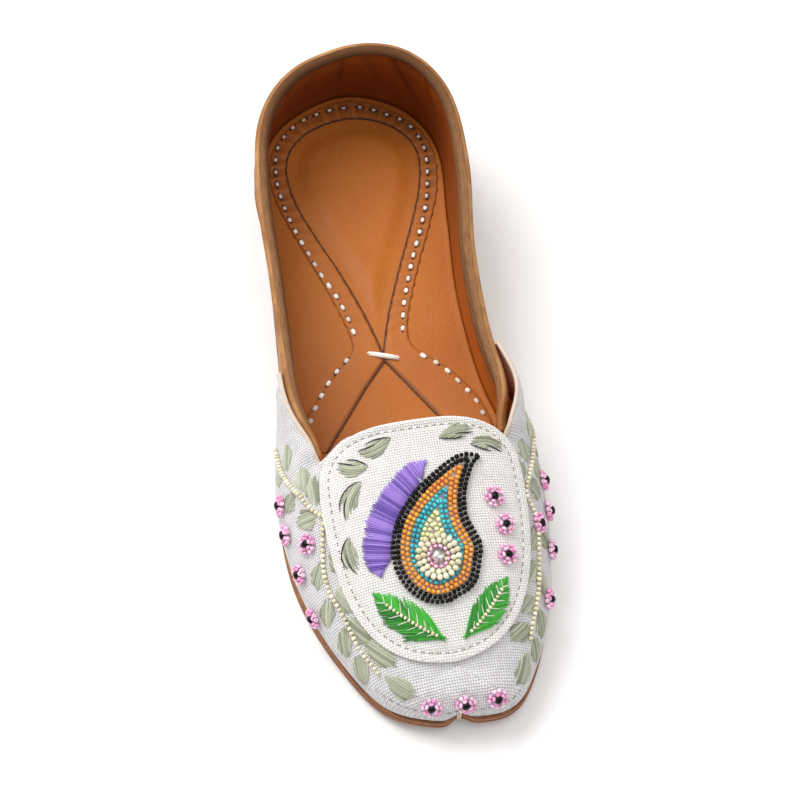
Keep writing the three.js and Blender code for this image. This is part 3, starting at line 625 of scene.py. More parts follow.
def walk(points, pitch, start=0.0):
    """Shares along a line of points, in equal steps of about a pitch."""
    length = run_length(points)
    count = max(int((length[-1] - start) / pitch), 1)
    wanted = start + (np.arange(count) + 0.5) * (length[-1] - start) / count
    return np.interp(wanted, length, np.arange(len(points)))

def at_share(rows, place):
    k = np.clip(np.floor(place).astype(int), 0, len(rows) - 2)
    f = (place - k)[:, None]
    return rows[k] * (1 - f) + rows[k + 1] * f

print("line helpers ready")

# %% A piece from points and faces
def store(mesh, label, values, kind="FLOAT"):
    """Keeps a number or a vector with each point of a mesh."""
    field = "value" if kind == "FLOAT" else "vector"
    stored = mesh.attributes.new(label, kind, "POINT")
    stored.data.foreach_set(field, np.asarray(values, np.float32).ravel())

def show(name, mesh):
    """Puts a finished mesh into the scene as a piece."""
    piece = bpy.data.objects.new(name, mesh)
    bpy.context.scene.collection.objects.link(piece)
    print(name, sum(len(p.vertices) - 2 for p in mesh.polygons), "triangles")
    return piece

def make_piece(name, points, faces, finish, uv=None, **marks):
    mesh = bpy.data.meshes.new(name)
    mesh.from_pydata(to_frame(points).tolist(), [], faces)
    for label, values in marks.items():
        store(mesh, label, values)
    if uv is not None:
        layer = mesh.uv_layers.new(name="UVMap")
        corner = np.empty(len(mesh.loops), np.int32)
        mesh.loops.foreach_get("vertex_index", corner)
        layer.data.foreach_set("uv", uv[corner].astype(np.float32).ravel())
    mesh.shade_smooth()
    mesh.materials.append(finish)
    return show(name, mesh)

def clean_faces(quads):
    """Quads as lists, without the corners that a pole or a seam doubles."""
    plain = (quads != np.roll(quads, 1, axis=1)).all(1)
    faces = quads[plain].tolist()
    for quad in quads[~plain].tolist():
        face = [c for k, c in enumerate(quad) if c != quad[k - 1]]
        if len(set(face)) > 2:
            faces.append(face)
    return faces

def weld(points, grain=500):
    """First copies of points, and for each point the number of its copy."""
    key = np.round(points * grain + 0.137).astype(np.int64)
    _, first, same = np.unique(key, axis=0, return_index=True, return_inverse=True)
    return first, same.reshape(-1)

def quads_of(k):
    """Quads between neighbours in a grid of point numbers."""
    return np.stack([k[:-1, :-1], k[:-1, 1:], k[1:, 1:], k[1:, :-1]], -1).reshape(-1, 4)

def grid_quads(columns, rows, start=0):
    return quads_of(start + np.arange((columns + 1) * (rows + 1)).reshape(columns + 1, rows + 1))

def sweep_faces(columns, size):
    """Faces of a closed section of size points that is swept over columns, with its two ends."""
    k = np.arange(columns * size).reshape(columns, size)
    closed = np.concatenate([k, k[:, :1]], axis=1)
    return quads_of(closed).tolist() + [k[0][::-1].tolist(), k[-1].tolist()]

def patch(columns, rows, place):
    """A grid of shares, turned by place into u, v and the low and high offsets."""
    i, j = np.meshgrid(
        np.linspace(0, 1, columns + 1), np.linspace(0, 1, rows + 1), indexing="ij"
    )
    arrays = np.broadcast_arrays(*place(i, j), i)[:4]
    return columns, rows, [np.array(a, float).ravel() for a in arrays]

print("mesh helpers ready")

# %% A panel between two offsets of the skin
def panel(patches, rim_steps=4):
    quads, start = [], 0
    for columns, rows, _ in patches:
        quads.append(grid_quads(columns, rows, start))
        start += (columns + 1) * (rows + 1)
    u, v, low, high = (np.concatenate([p[2][k] for p in patches]) for k in range(4))
    points = skin(u, v)
    first, same = weld(points)
    normal = np.zeros((len(first), 3))
    np.add.at(normal, same, skin_normal(u, v))
    quads = same[np.concatenate(quads)]
    u, v, low, high, points = u[first], v[first], low[first], high[first], points[first]
    seam = v == 0
    normal[seam, 2] = 0
    normal = unit(normal)

    def face(offset):
        moved = points + normal * offset[:, None]
        level = SOLE_THICK + SEAM_GAP + sole_lift(moved[:, 1] + SOLE_LENGTH / 2)
        moved[:, 2] = np.where(seam, level, moved[:, 2])
        return moved

    outer, inner = face(high), face(low)
    count = len(points)
    begin, end = quads.ravel(), np.roll(quads, -1, axis=1).ravel()
    begin, end = begin[begin != end], end[begin != end]
    open_edge = ~np.isin(begin * count + end, end * count + begin)
    begin, end = begin[open_edge], end[open_edge]
    outward = np.zeros((count, 3))
    away = unit(np.cross(points[end] - points[begin], normal[begin] + normal[end]))
    np.add.at(outward, begin, away)
    np.add.at(outward, end, away)
    outward = unit(outward)
    rim = np.unique(np.concatenate([begin, end]))
    place_in_rim = np.zeros(count, int)
    place_in_rim[rim] = np.arange(len(rim))
    half = (outer - inner)[rim] / 2
    bulge = outward[rim] * np.linalg.norm(half, axis=1, keepdims=True) * ~seam[rim][:, None]
    rings = [outer, inner]
    for step in range(1, rim_steps + 1):
        turn = math.pi * step / (rim_steps + 1)
        middle = (outer + inner)[rim] / 2
        rings.append(middle + half * math.cos(turn) + bulge * math.sin(turn))
    ids = [(begin, end)]
    for step in range(rim_steps):
        offset = 2 * count + step * len(rim)
        ids.append((offset + place_in_rim[begin], offset + place_in_rim[end]))
    ids.append((begin + count, end + count))
    walls = [np.stack([b, a, c, d], -1) for (a, b), (c, d) in zip(ids, ids[1:])]
    faces = clean_faces(np.concatenate([quads, quads[:, ::-1] + count, *walls]))
    repeat = np.concatenate([np.arange(count), np.arange(count), *[rim] * rim_steps])
    side = np.concatenate([np.zeros(count), np.ones(count), np.full(len(rim) * rim_steps, 0.5)])
    return {
        "points": np.concatenate(rings),
        "faces": faces,
        "u": u[repeat],
        "v": v[repeat],
        "side": side,
        "open": np.isin(repeat, rim).astype(float),
    }

# %% Millimetres along the threads of the cloth
WEAVE_U = np.linspace(0, LOOP, 481)
WEAVE_V = np.linspace(1, 0, 121)

def thread_table():
    """Unrolls the skin from its ridge: millimetres round the shoe, and along it."""
    u, v = np.meshgrid(WEAVE_U, WEAVE_V, indexing="ij")
    points, normal = skin(u, v), skin_normal(u, v)
    along = unit(np.array([0, 1, 0]) - normal * normal[..., 1:2])
    girth = np.cross(along, normal)
    step = np.diff(points, axis=1)
    table = []
    for direction, start in ((girth, points[:, :1, 0]), (along, points[:, :1, 1])):
        share = (step * (direction[:, 1:] + direction[:, :-1]) / 2).sum(-1)
        table.append(np.concatenate([start, start + np.cumsum(share, axis=1)], axis=1))
    return np.stack(table, -1)

THREADS = thread_table()

def thread_uv(u, v):
    i = np.clip(np.mod(u, LOOP) / LOOP * (len(WEAVE_U) - 1), 0, len(WEAVE_U) - 1.001)
    j = np.clip((1 - v) * (len(WEAVE_V) - 1), 0, len(WEAVE_V) - 1.001)
    a, b = i.astype(int), j.astype(int)
    f, g = (i - a)[:, None], (j - b)[:, None]
    near = THREADS[a, b] * (1 - g) + THREADS[a, b + 1] * g
    far = THREADS[a + 1, b] * (1 - g) + THREADS[a + 1, b + 1] * g
    return near * (1 - f) + far * f

def panel_piece(name, made, finish, woven=False, **marks):
    """A panel as a piece, with a map of its threads if it is woven."""
    uv = thread_uv(made["u"], made["v"]) if woven else None
    return make_piece(name, made["points"], made["faces"], finish, uv, **marks)

print("thread table", THREADS.shape)

# %% [markdown]
# ## Sole
# The outsole is one slab of leather with a rounded edge, a small cusp in the middle of the toe, a
# lifted toe and a low arch. It is a lathe-like piece: one edge profile is carried round the
# outline, and the flat faces close along the middle of the shoe.

# %% Sole slab
SOLE_COLUMNS = 420
TOE_CROWDING = 0.45
SOLE_PROFILE = (
    (0.9, 0.0), (0.42, 0.1), (0.12, 0.36), (0, 0.9), (0.1, 1.7), (0.02, 2.5), (0.1, 3.3),
    (0, 4.1), (0.12, 4.64), (0.42, 4.9), (0.9, 5.0),
)
CAP_SHARES = (1, 0.8, 0.55, 0.3, 0.12, 0.03)

def ring_u(columns, crowding):
    turn = np.linspace(0, 2 * np.pi, columns + 1)
    return LOOP * (turn - crowding * np.sin(turn)) / (2 * np.pi)

# station, reach and size of the place where the sole stands out on the lateral side
SOLE_SHELF = (66, 24, 1.1)
SHELF_FADE = 0.01

def sole_plan(u, drawn_in, height):
    station, reach, size = SOLE_SHELF
    near = np.exp(-(((around("station", u) - station) / reach) ** 2))
    shelf = size * np.maximum(near - SHELF_FADE, 0) * (u < HEEL)
    return sole_inset(u, toe_notch(u) + drawn_in - shelf)

def slab(columns, crowding, plan_at, profile, cap_shares, relief=None):
    """A closed slab round the sole's outline; its edge follows a profile of insets and heights."""
    u = ring_u(columns, crowding)
    ridge = ridge_point(u)
    rows = [(profile[0], share) for share in cap_shares]
    rows += [(step, 0) for step in profile]
    rows += [(profile[-1], share) for share in reversed(cap_shares)]
    points = []
    for number, ((drawn_in, height), share) in enumerate(rows):
        plan = plan_at(u, drawn_in, height)
        plan = plan + (ridge - plan) * share
        level = height + sole_lift(plan[:, 1])
        if relief is not None and number > len(cap_shares):
            level = level + relief(plan[:, 0], plan[:, 1])
        points.append(np.stack([plan[:, 0], plan[:, 1] - SOLE_LENGTH / 2, level], -1))
    points = np.stack(points, 1).reshape(-1, 3)
    first, same = weld(points, 100)
    quads = same[grid_quads(columns, len(rows) - 1)]
    return points[first], clean_faces(quads)

sole_points, sole_faces = slab(SOLE_COLUMNS, TOE_CROWDING, sole_plan, SOLE_PROFILE, CAP_SHARES)
sole = make_piece("sole_slab", sole_points, sole_faces, SOLE_LEATHER)

# %% [markdown]
# ## Footbed and ribbon
# The footbed is a tan leather sheet with a low pad under the heel. A ribbon of the same leather
# runs round the heel and crosses itself in front of the arch. Its inner edges are cut and dark, partly
# by painted shade, and painted shade also lies in its wrinkles and round its stitches.

# %% Edge of the footbed
INSOLE_BOTTOM = SOLE_THICK + SEAM_GAP
INSOLE_TOP = INSOLE_BOTTOM + INSOLE_THICK
FOOTBED_PROFILE = tuple(
    (inset, INSOLE_TOP + height)
    for inset, height in (
        (0.3, -INSOLE_THICK), (0, 0.4 - INSOLE_THICK), (0, -0.5), (0, 0.12), (0.3, 0.24),
        (1.0, 0.14), (2.2, 0),
    )
)
FOOTBED_SHARES = tuple(np.linspace(1, 0.04, 26))

def footbed_plan(u, drawn_in, height):
    """The footbed reaches the inner face of the upper at each height."""
    v = at_height(u, height + sole_lift(around("station", u)))
    inward = -unit(skin_normal(u, v)[:, :2])
    wall = skin(u, v)[:, :2] + (0, SOLE_LENGTH / 2)
    return wall + inward * (LEATHER_WALL + FOOTBED_GAP + drawn_in)

print("top of the footbed", INSOLE_TOP, "mm")

# %% Line of the ribbon
RIBBON_BOW = 0.25
RIBBON_CROSSING = 3.0
RIBBON_TOP = 1.0
# outer edge x and station, inner edge x and station, from the lateral tail round the heel
RIBBON = np.array([
    (-36.5, 108, -26.7, 107), (-34, 118, -18.1, 118), (-24, 131, -8.8, 130),
    (-15, 140, -1, 138.8), (-11, 146, -1, 141), (-13.2, 158, -4.6, 157),
    (-19.2, 180, -11.6, 180), (-26.4, 203, -19.8, 203), (-28.8, 219, -22, 220),
    (-24.3, 232.6, -18.2, 230.5), (-13.6, 242, -9.5, 237), (3, 247.9, 3, 239.6),
    (17.8, 242.7, 14, 236.8), (28.3, 232, 22.2, 230.3), (32.3, 220.2, 26, 220),
    (29.9, 203, 22.6, 203), (20.3, 180, 13, 180), (11.6, 158, 3.8, 157), (9, 146, -1, 141),
    (12.8, 140, -1, 138.8), (22, 131.5, 4.6, 130), (29.6, 119, 11.8, 118),
    (32, 108.5, 18, 107.5),
])

def bowed(points, share):
    """A path through points that bows out a little between them."""
    place = share * (len(points) - 1)
    k = np.clip(np.floor(place).astype(int), 0, len(points) - 2)
    f = (place - k)[:, None]
    before, after = points[np.maximum(k - 1, 0)], points[np.minimum(k + 2, len(points) - 1)]
    bow = before + after - points[k] - points[k + 1]
    gap = np.linalg.norm(points[k + 1] - points[k], axis=1, keepdims=True)
    amount = np.where(gap > RIBBON_CROSSING, -RIBBON_BOW * f * (1 - f), 0)
    return points[k] * (1 - f) + points[k + 1] * f + bow * amount

RIBBON_SPANS = len(RIBBON) - 1
RIBBON_STEPS = 32
RIBBON_SHARE = np.linspace(0, 1, RIBBON_SPANS * RIBBON_STEPS + 1)
ribbon_outer = bowed(RIBBON[:, :2], RIBBON_SHARE)
ribbon_inner = bowed(RIBBON[:, 2:], RIBBON_SHARE)
# x and station along each row of stitches
STITCH_LINES = (
    ((5.5, 244.2), (-4.5, 243.8), (-15.5, 239.8), (-23.4, 231.5), (-26, 220.5), (-25.9, 211.5),
     (-24.8, 203.4), (-22.7, 194.6), (-19.8, 185.3), (-17, 176.1), (-13.7, 167.3), (-11.2, 158.6),
     (-9.4, 148.8)),
    ((6.4, 244.3), (11, 243), (16.6, 239.9), (24.6, 234.3), (28.7, 223.8), (28.1, 212.6),
     (25.2, 199.9), (21.2, 189.3), (16.9, 179.3), (13.1, 169.3), (9.5, 158.4), (7.1, 147.5)),
    ((-12.1, 142.5), (-18.2, 137.2), (-22.5, 132.5), (-26.2, 127.3), (-30.2, 120.6), (-32, 112)),
    ((10.9, 140.1), (18.8, 133.4), (24.6, 125), (28, 118.7), (30, 111)),
)
STITCH_PITCH = 5.0
stitch_lines = [smooth_line(line) for line in STITCH_LINES]
stitch_plan = np.concatenate([at_share(line, walk(line, STITCH_PITCH)) for line in stitch_lines])
print("ribbon stitches", len(stitch_plan))

# %% Footbed
PAD_HEIGHT = 1.2
PAD_FROM, PAD_TO = 2.5, 9.0
PAD_SUNK = 0.02
BED_COLUMNS, BED_CROWDING = 300, 0.1
FIRST_CROSSING, LAST_CROSSING = 4, 18
ribbon_row = RIBBON_SHARE * RIBBON_SPANS
on_loop = (ribbon_row >= FIRST_CROSSING) & (ribbon_row <= LAST_CROSSING)
pad_edge = ribbon_inner[on_loop]

def heel_pad(x, station):
    """Height of the pad that swells up inside the ribbon's loop."""
    near = np.hypot(x[:, None] - pad_edge[:, 0], station[:, None] - pad_edge[:, 1]).min(1)
    ahead = np.roll(pad_edge, -1, axis=0)
    spans = (pad_edge[:, 1] > station[:, None]) != (ahead[:, 1] > station[:, None])
    rise = np.where(ahead[:, 1] == pad_edge[:, 1], 1e-9, ahead[:, 1] - pad_edge[:, 1])
    cross = pad_edge[:, 0] + (ahead[:, 0] - pad_edge[:, 0]) * (station[:, None] - pad_edge[:, 1]) / rise
    inside = (spans & (x[:, None] < cross)).sum(1) % 2
    return PAD_HEIGHT * inside * smoothstep(near, PAD_FROM, PAD_TO)

def on_footbed(plan, height):
    level = INSOLE_TOP + height + sole_lift(plan[:, 1]) + heel_pad(plan[:, 0], plan[:, 1])
    return np.stack([plan[:, 0], plan[:, 1] - SOLE_LENGTH / 2, level], -1)

bed_points, bed_faces = slab(
    BED_COLUMNS, BED_CROWDING, footbed_plan, FOOTBED_PROFILE, FOOTBED_SHARES,
    lambda x, t: heel_pad(x, t) - PAD_SUNK,
)
unworn = np.zeros(len(bed_points))
footbed = make_piece("footbed", bed_points, bed_faces, TAN_LEATHER, worn=unworn)

# %% Ribbon
PUCKER_REACH = 1.3
RIBBON_PUCKER = 0.8
STITCH_ROW = 0.36
# painted shade in the dimples round the stitches
STITCH_SHADE = 0.9
WRINKLE_DEPTH = 0.2
# painted shade in the wrinkles near the heel, and the wrinkle value where it starts
WRINKLE_SHADE = 0.5
WRINKLE_SHADE_FROM = 0.6
# wrinkle in the middle of the ribbon, and its growth away from there
WRINKLE_SPREAD = (0.4, 1.2)
# share across the ribbon of its middle, where a stitch pulls most
RIBBON_MIDDLE = 0.45
PULL_FADE = 1.2
# how far a stitch draws the edges in, and the plain reach round it
PULL_IN = 0.055
STITCH_REACH = 0.8
# dark cut edges, partly painted shade: at the outer one, its growth towards the inner one, and below
# what height
CUT_EDGE_TONE_AND_SHADE = (0.2, 0.7)
CUT_BELOW = 0.9
# how far across the ribbon the painted shade of a stitch reaches
STITCH_SHADE_REACH = 0.55
RIM_POINTS = 1200
# stations between which the ribbon shows wear and more painted shade, and between which its tails
# thicken
WEAR_AND_SHADE_HEEL = (170, 235)
TAIL_THINS = (128, 146)
TAIL_LEVEL = 0.6
# share across the ribbon from its outer edge, and height over the footbed
RIBBON_SECTION = (
    (0, 0.02), (0, 0.55), (0.03, 0.82), (0.1, RIBBON_TOP), (0.2, RIBBON_TOP - 0.05),
    (0.36, RIBBON_TOP - 0.04), (0.6, RIBBON_TOP), (0.88, RIBBON_TOP - 0.02), (0.97, 0.84),
    (1, 0.5), (1, 0.02),
)

def ribbon_level(plan):
    """Share of the ribbon's height: its two tails are skived thin in front of the crossing."""
    return TAIL_LEVEL + (1 - TAIL_LEVEL) * smoothstep(plan[:, 1], *TAIL_THINS)

def ribbon_mesh():
    """The ribbon with its section swept along it, drawn down and in at every stitch."""
    middle = ribbon_outer * (1 - RIBBON_MIDDLE) + ribbon_inner * RIBBON_MIDDLE
    near = np.linalg.norm(middle[:, None] - stitch_plan[None], axis=-1).min(1)
    pull = np.exp(-((np.maximum(near - STITCH_REACH, 0) / PUCKER_REACH) ** 2))
    at_heel = smoothstep(middle[:, 1], *WEAR_AND_SHADE_HEEL)
    # the painted shade round the stitches grows towards the heel
    used = 0.4 + 0.6 * at_heel
    run = run_length(middle)
    wrinkle = 0.5 + 0.3 * np.sin(run * 2.9 + 2 * np.sin(run * 0.43)) + 0.2 * np.sin(run * 1.7 + 1.3)
    rows, worn = [], []
    for share, height in RIBBON_SECTION:
        drawn = share + PULL_IN * pull * (1 - 2 * share)
        off_middle = abs(share - RIBBON_MIDDLE)
        plan = ribbon_outer * (1 - drawn)[:, None] + ribbon_inner * drawn[:, None]
        sunk = RIBBON_PUCKER * pull * max(height, 0) * (1 - off_middle * PULL_FADE)
        spread = WRINKLE_SPREAD[0] + WRINKLE_SPREAD[1] * off_middle
        creased = WRINKLE_DEPTH * at_heel * wrinkle * (1 - pull) * height * spread
        rows.append(on_footbed(plan, (height - sunk - creased) * ribbon_level(plan)))
        # cut edges: their own dark colour, and painted shade on the walls of the step
        cut = CUT_EDGE_TONE_AND_SHADE[0] + CUT_EDGE_TONE_AND_SHADE[1] * share if height < CUT_BELOW else 0.0
        # painted shade in the dimple round each stitch
        beside = max(1 - abs(share - STITCH_ROW) / STITCH_SHADE_REACH, 0)
        shade_by_stitch = STITCH_SHADE * used * pull * beside
        # painted shade in the wrinkles
        shade_in_wrinkle = WRINKLE_SHADE * at_heel * smoothstep(wrinkle, WRINKLE_SHADE_FROM, 1)
        worn.append(np.maximum(cut, np.maximum(shade_by_stitch, shade_in_wrinkle)))
    points = np.stack(rows, 1)
    return points.reshape(-1, 3), sweep_faces(*points.shape[:2]), np.stack(worn, 1).ravel()

ribbon_points, ribbon_faces, ribbon_worn = ribbon_mesh()
bed_rim = footbed_plan(np.linspace(0, LOOP, RIM_POINTS), 0.0, np.full(RIM_POINTS, INSOLE_TOP))
to_wall = np.linalg.norm(ribbon_outer[:, None] - bed_rim[None], axis=-1).min(1)
print("ribbon to wall, least", round(float(to_wall.min()), 2), "mm")
ribbon = make_piece("footbed_ribbon", ribbon_points, ribbon_faces, RIBBON_LEATHER, worn=ribbon_worn)

# %% [markdown]
# ## Leather upper
# One leather wall goes round the heel and closes over the toe, where it is the lining of the cloth.
# It is cut from the skin, with the throat and the topline left open. The creases at the back of the
# lining are given one by one, each as a soft trough with low ridges and a line of painted shade.

# %% Upper
THROAT_U = float(at_station(THROAT_STATION))
THROAT_SKEW = float(at_station(THROAT_STATION + THROAT_BULGE)) - THROAT_U
THROAT_BEND = 6
WING_U = float(at_station(WING_STATION))
WING_SLANT_U = float(at_station(WING_STATION + WING_SLANT)) - WING_U
CREASE_DEPTH = 1.45
# painted shade in the troughs of the lining's creases
CREASE_SHADE = 0.75
CREASE_SHOWS_OUTSIDE = 0.25
CREASE_LEANS_FROM = 0.6
# height of the ridges beside a crease, and their width in creases
CREASE_RIDGE, CREASE_RIDGE_WIDTH = 0.5, 2.4
RIM_WORN = 0.35
# place round the heel from its middle, lean, depth and half width of each crease in the lining
CREASES = (
    (-2.2, 0.3, 0.3, 0.12), (-1.35, 0.45, 0.7, 0.11), (-0.75, -0.2, 0.3, 0.1), (-0.1, -0.12, 0.6, 0.1),
    (0.5, -0.3, 0.4, 0.1), (1.05, -0.5, 0.75, 0.12), (1.75, -0.3, 0.4, 0.12),
)

def split_at(u):
    return at_height(u, around("collar", u))

def on_side(side, s):
    return s if side == "lateral" else LOOP - s

def forward(side, i):
    return i if side == "lateral" else 1 - i

def front_patches(columns, wall_rows, top_rows, low, high):
    """Side walls up to the split line, then the top up to the ridge, for both sides."""
    made = []
    for side in ("lateral", "medial"):
        def wall(i, j, side=side):
            u = on_side(side, forward(side, i) * THROAT_U)
            v = split_at(u) * j
            return u, v, low(u, v), high(u, v)

        def top(i, j, side=side):
            s = forward(side, i) * THROAT_U
            split = split_at(on_side(side, s))
            skew = THROAT_SKEW * (s / THROAT_U) ** THROAT_BEND * smoothstep(j, 0, 0.5)
            u, v = on_side(side, s + skew), split + (1 - split) * j
            return u, v, low(u, v), high(u, v)

        made += [patch(columns, wall_rows, wall), patch(columns, top_rows, top)]
    return made

def pucker(u, v):
    """Depth of the creases, which fade out towards the footbed."""
    up = v / split_at(u)
    total = np.zeros_like(u)
    for place, lean, depth, width in CREASES:
        across = (u - HEEL - place - lean * (up - CREASE_LEANS_FROM)) / width
        ridge = CREASE_RIDGE * np.exp(-((across / CREASE_RIDGE_WIDTH) ** 2))
        total = total + depth * (np.exp(-across**2) - ridge)
    return CREASE_DEPTH * total * smoothstep(up, 0.1, 0.5) * (1 - 0.8 * smoothstep(up, 0.85, 0.96))

def leather_low(u, v):
    return -LEATHER_WALL + pucker(u, v)

def leather_high(u, v):
    return CREASE_SHOWS_OUTSIDE * pucker(u, v)

def quarter_wall(i, j):
    u = THROAT_U + (LOOP - 2 * THROAT_U) * i
    v = split_at(u) * j
    return u, v, leather_low(u, v), leather_high(u, v)

upper_panel = panel(
    front_patches(44, 18, 14, leather_low, leather_high) + [patch(260, 18, quarter_wall)]
)
# the inner face darkens in the crease troughs: painted shade
creased = np.clip(pucker(upper_panel["u"], upper_panel["v"]), 0, 1) * upper_panel["side"]
upper_worn = np.maximum(upper_panel["open"] * RIM_WORN, CREASE_SHADE * creased)
upper = panel_piece("leather_upper", upper_panel, LINING_LEATHER, worn=upper_worn)

# %% [markdown]
# ## Folded strip on the topline
# A strip of pale leather is folded over the topline: a narrow edge outside, and a wider band of its
# rough side inside. One inverted-U section is swept along the topline.

# %% Collar strip
BINDING_WALL = 0.9
BINDING_OUTSIDE = 2.4
BINDING_INSIDE = 6.5
BINDING_AT_HEEL = 1.6
BINDING_NARROWS_AT = 0.6
BINDING_NARROWS_OVER = 2.7
STRIP_TAPER = 0.09
BINDING_COLUMNS = 52
BINDING_STEPS = 300
FOLD_FROM = -0.6
STRIP_THIN = 0.8
STRIP_TIP = 0.01
# distance in from the skin at which the rough side begins and is full
ROUGH_FROM, ROUGH_TO = -0.5, 0.7
PLEAT_DEPTH = 0.22
PLEAT_REACH = 1.5
TOPLINE_STEP = 0.01

def near_topline(u, out, above):
    v = at_height(u, around("collar", u) + np.minimum(above, 0))
    normal = skin_normal(u, v)
    ahead, behind = u + TOPLINE_STEP, u - TOPLINE_STEP
    along = skin(ahead, split_at(ahead)) - skin(behind, split_at(behind))
    up = unit(np.cross(along, normal))
    return skin(u, v) + normal * out[..., None] + up * np.maximum(above, 0)[..., None]

def fold(near, reach, top, outside, inside, steps):
    """One face of the folded strip: up the outside, over the topline and down the inside."""
    middle = -LEATHER_WALL / 2
    turn = np.linspace(0, np.pi, steps)
    half = near - middle
    arc = [(middle + half * np.cos(a), FOLD_FROM + (top - FOLD_FROM) * np.sin(a)) for a in turn]
    return [(near, -outside)] + arc + [(middle - half, -share * inside) for share in reach]

strip_near, strip_far = SEAM_GAP, SEAM_GAP + BINDING_WALL
LEG = (0.25, 0.45, 0.65, 0.85, 1.0)
strip_face = fold(strip_far, LEG, strip_far, BINDING_OUTSIDE, BINDING_INSIDE, 15)
strip_back = fold(strip_near, LEG, strip_near, BINDING_OUTSIDE, BINDING_INSIDE, 9)
strip_section = np.array(strip_face + strip_back[::-1])

def strip_mesh():
    share = np.linspace(0.5, BINDING_COLUMNS - 0.5, BINDING_STEPS + 1) / BINDING_COLUMNS
    u = THROAT_U + (LOOP - 2 * THROAT_U) * share
    uu, out = np.meshgrid(u, strip_section[:, 0], indexing="ij")
    above = np.broadcast_to(strip_section[:, 1], uu.shape)
    inside = smoothstep(-out, ROUGH_FROM, ROUGH_TO)
    leg = 1 - (1 - BINDING_AT_HEEL / BINDING_INSIDE) * np.exp(
        -(((uu - HEEL - BINDING_NARROWS_AT) / BINDING_NARROWS_OVER) ** 2)
    )
    above = np.where((out < -LEATHER_WALL / 2) & (above < 0), above * leg, above)
    thin = STRIP_THIN * (1 - smoothstep(np.minimum(share, 1 - share), STRIP_TIP, STRIP_TAPER))[:, None]
    out = out - np.maximum(out - strip_near, 0) * thin
    out = out + np.maximum(-LEATHER_WALL - strip_near - out, 0) * thin
    above = above - np.maximum(above - strip_near, 0) * thin
    ripple = np.sin(uu * 21) * 0.6 + np.sin(uu * 47 + 1) * 0.4
    near_heel = 0.1 + 0.9 * np.exp(-(((uu - HEEL) / PLEAT_REACH) ** 2))
    pleat = PLEAT_DEPTH * ripple * near_heel * inside * smoothstep(-above, 0, 3)
    points = near_topline(uu, out - np.abs(pleat), above)
    along, across = run_length(skin(u, split_at(u))), run_length(strip_section)
    uv = np.stack(np.meshgrid(along, across, indexing="ij"), -1).reshape(-1, 2)
    return points.reshape(-1, 3), sweep_faces(*points.shape[:2]), uv, inside.ravel()

strip_points, strip_faces, strip_uv, strip_inside = strip_mesh()
collar = make_piece(
    "collar_strip", strip_points, strip_faces, PALE_LEATHER, uv=strip_uv, inside=strip_inside
)

# %% [markdown]
# ## Cloth vamp
# The white net lies on the front of the upper, with a wing down each side that stands off the
# quarter. It is the next offset of the same skin. The wings wave a little, as sewn cloth does.

# %% Vamp cloth
WING_CLEARANCE = 1.45
WING_BULGE = {"lateral": 0.3, "medial": 3.0}
WING_BULGE_POWER = 0.8
WING_CLEAR_BY = 0.15
WING_STANDS_FROM = 0.3
WAVE_HEIGHT = 0.12
GATHER_HEIGHT = 0.22
# reach of the gathers round the toe in sections, and the v where they are and how far they go
GATHER_REACH = 1.6
GATHER_AT, GATHER_OVER = 0.1, 0.09

def wing_share(u):
    return (along_side(u) - THROAT_U) / (WING_U - THROAT_U)

def cloth_low(u, v):
    along, share = wing_share(u), v / split_at(u)
    clear = WING_CLEARANCE * smoothstep(along, 0, WING_CLEAR_BY)
    bulge = np.where(np.mod(u, LOOP) <= HEEL, WING_BULGE["lateral"], WING_BULGE["medial"])
    arch = np.sin(np.pi * np.clip(along, 0, 1) ** WING_BULGE_POWER)
    stand = (clear + bulge * np.maximum(arch, 0)) * smoothstep(share, WING_STANDS_FROM, 1)
    return SEAM_GAP + np.where((along <= 0) | (share > 1.001), 0, stand)

def cloth_high(u, v):
    wave = WAVE_HEIGHT * np.sin(u * 9) * np.sin(v * 31 + u * 3) * smoothstep(v, 0, 0.1)
    side = along_side(u)
    low = np.exp(-(((v - GATHER_AT) / GATHER_OVER) ** 2))
    near_toe = np.exp(-((side / GATHER_REACH) ** 2)) * low
    gather = GATHER_HEIGHT * near_toe * np.sin(side * 26 + 1.2 * np.sin(u * 5))
    return cloth_low(u, v) + CLOTH_WALL + wave + gather

def wing_patch(side):
    def place(i, j):
        end = WING_U + WING_SLANT_U * (1 - j)
        u = on_side(side, THROAT_U + (end - THROAT_U) * forward(side, i))
        v = split_at(u) * j
        return u, v, cloth_low(u, v), cloth_high(u, v)

    return patch(40, 18, place)

cloth_panel = panel(
    front_patches(80, 18, 20, cloth_low, cloth_high) + [wing_patch("lateral"), wing_patch("medial")]
)
cloth = panel_piece("vamp_cloth", cloth_panel, NET_CLOTH, woven=True, behind=cloth_panel["side"])

# %% [markdown]
# ## Apron
# The apron is a plaque of coarse linen with a turned edge, sewn down a little inside it. The seam
# draws the cloth in, so the offset dips along a line that follows the edge.

# %% Apron
APRON_MIDDLE = np.array([-1.0, 70.0])
APRON_HALF_WIDTH = 32.5
APRON_FRONT, APRON_BACK = 53.5, 23.0
APRON_FRONT_POWER, APRON_BACK_POWER = 2.35, 3.2
CLOTH_TOP = SEAM_GAP + CLOTH_WALL
APRON_BOTTOM = CLOTH_TOP + SEAM_GAP
APRON_TOP = APRON_BOTTOM + APRON_WALL
SEAM_INSET = 2.3
SEAM_DIP = 0.35
SEAM_REACH = 0.9
RIM_CROWDING = 1.6

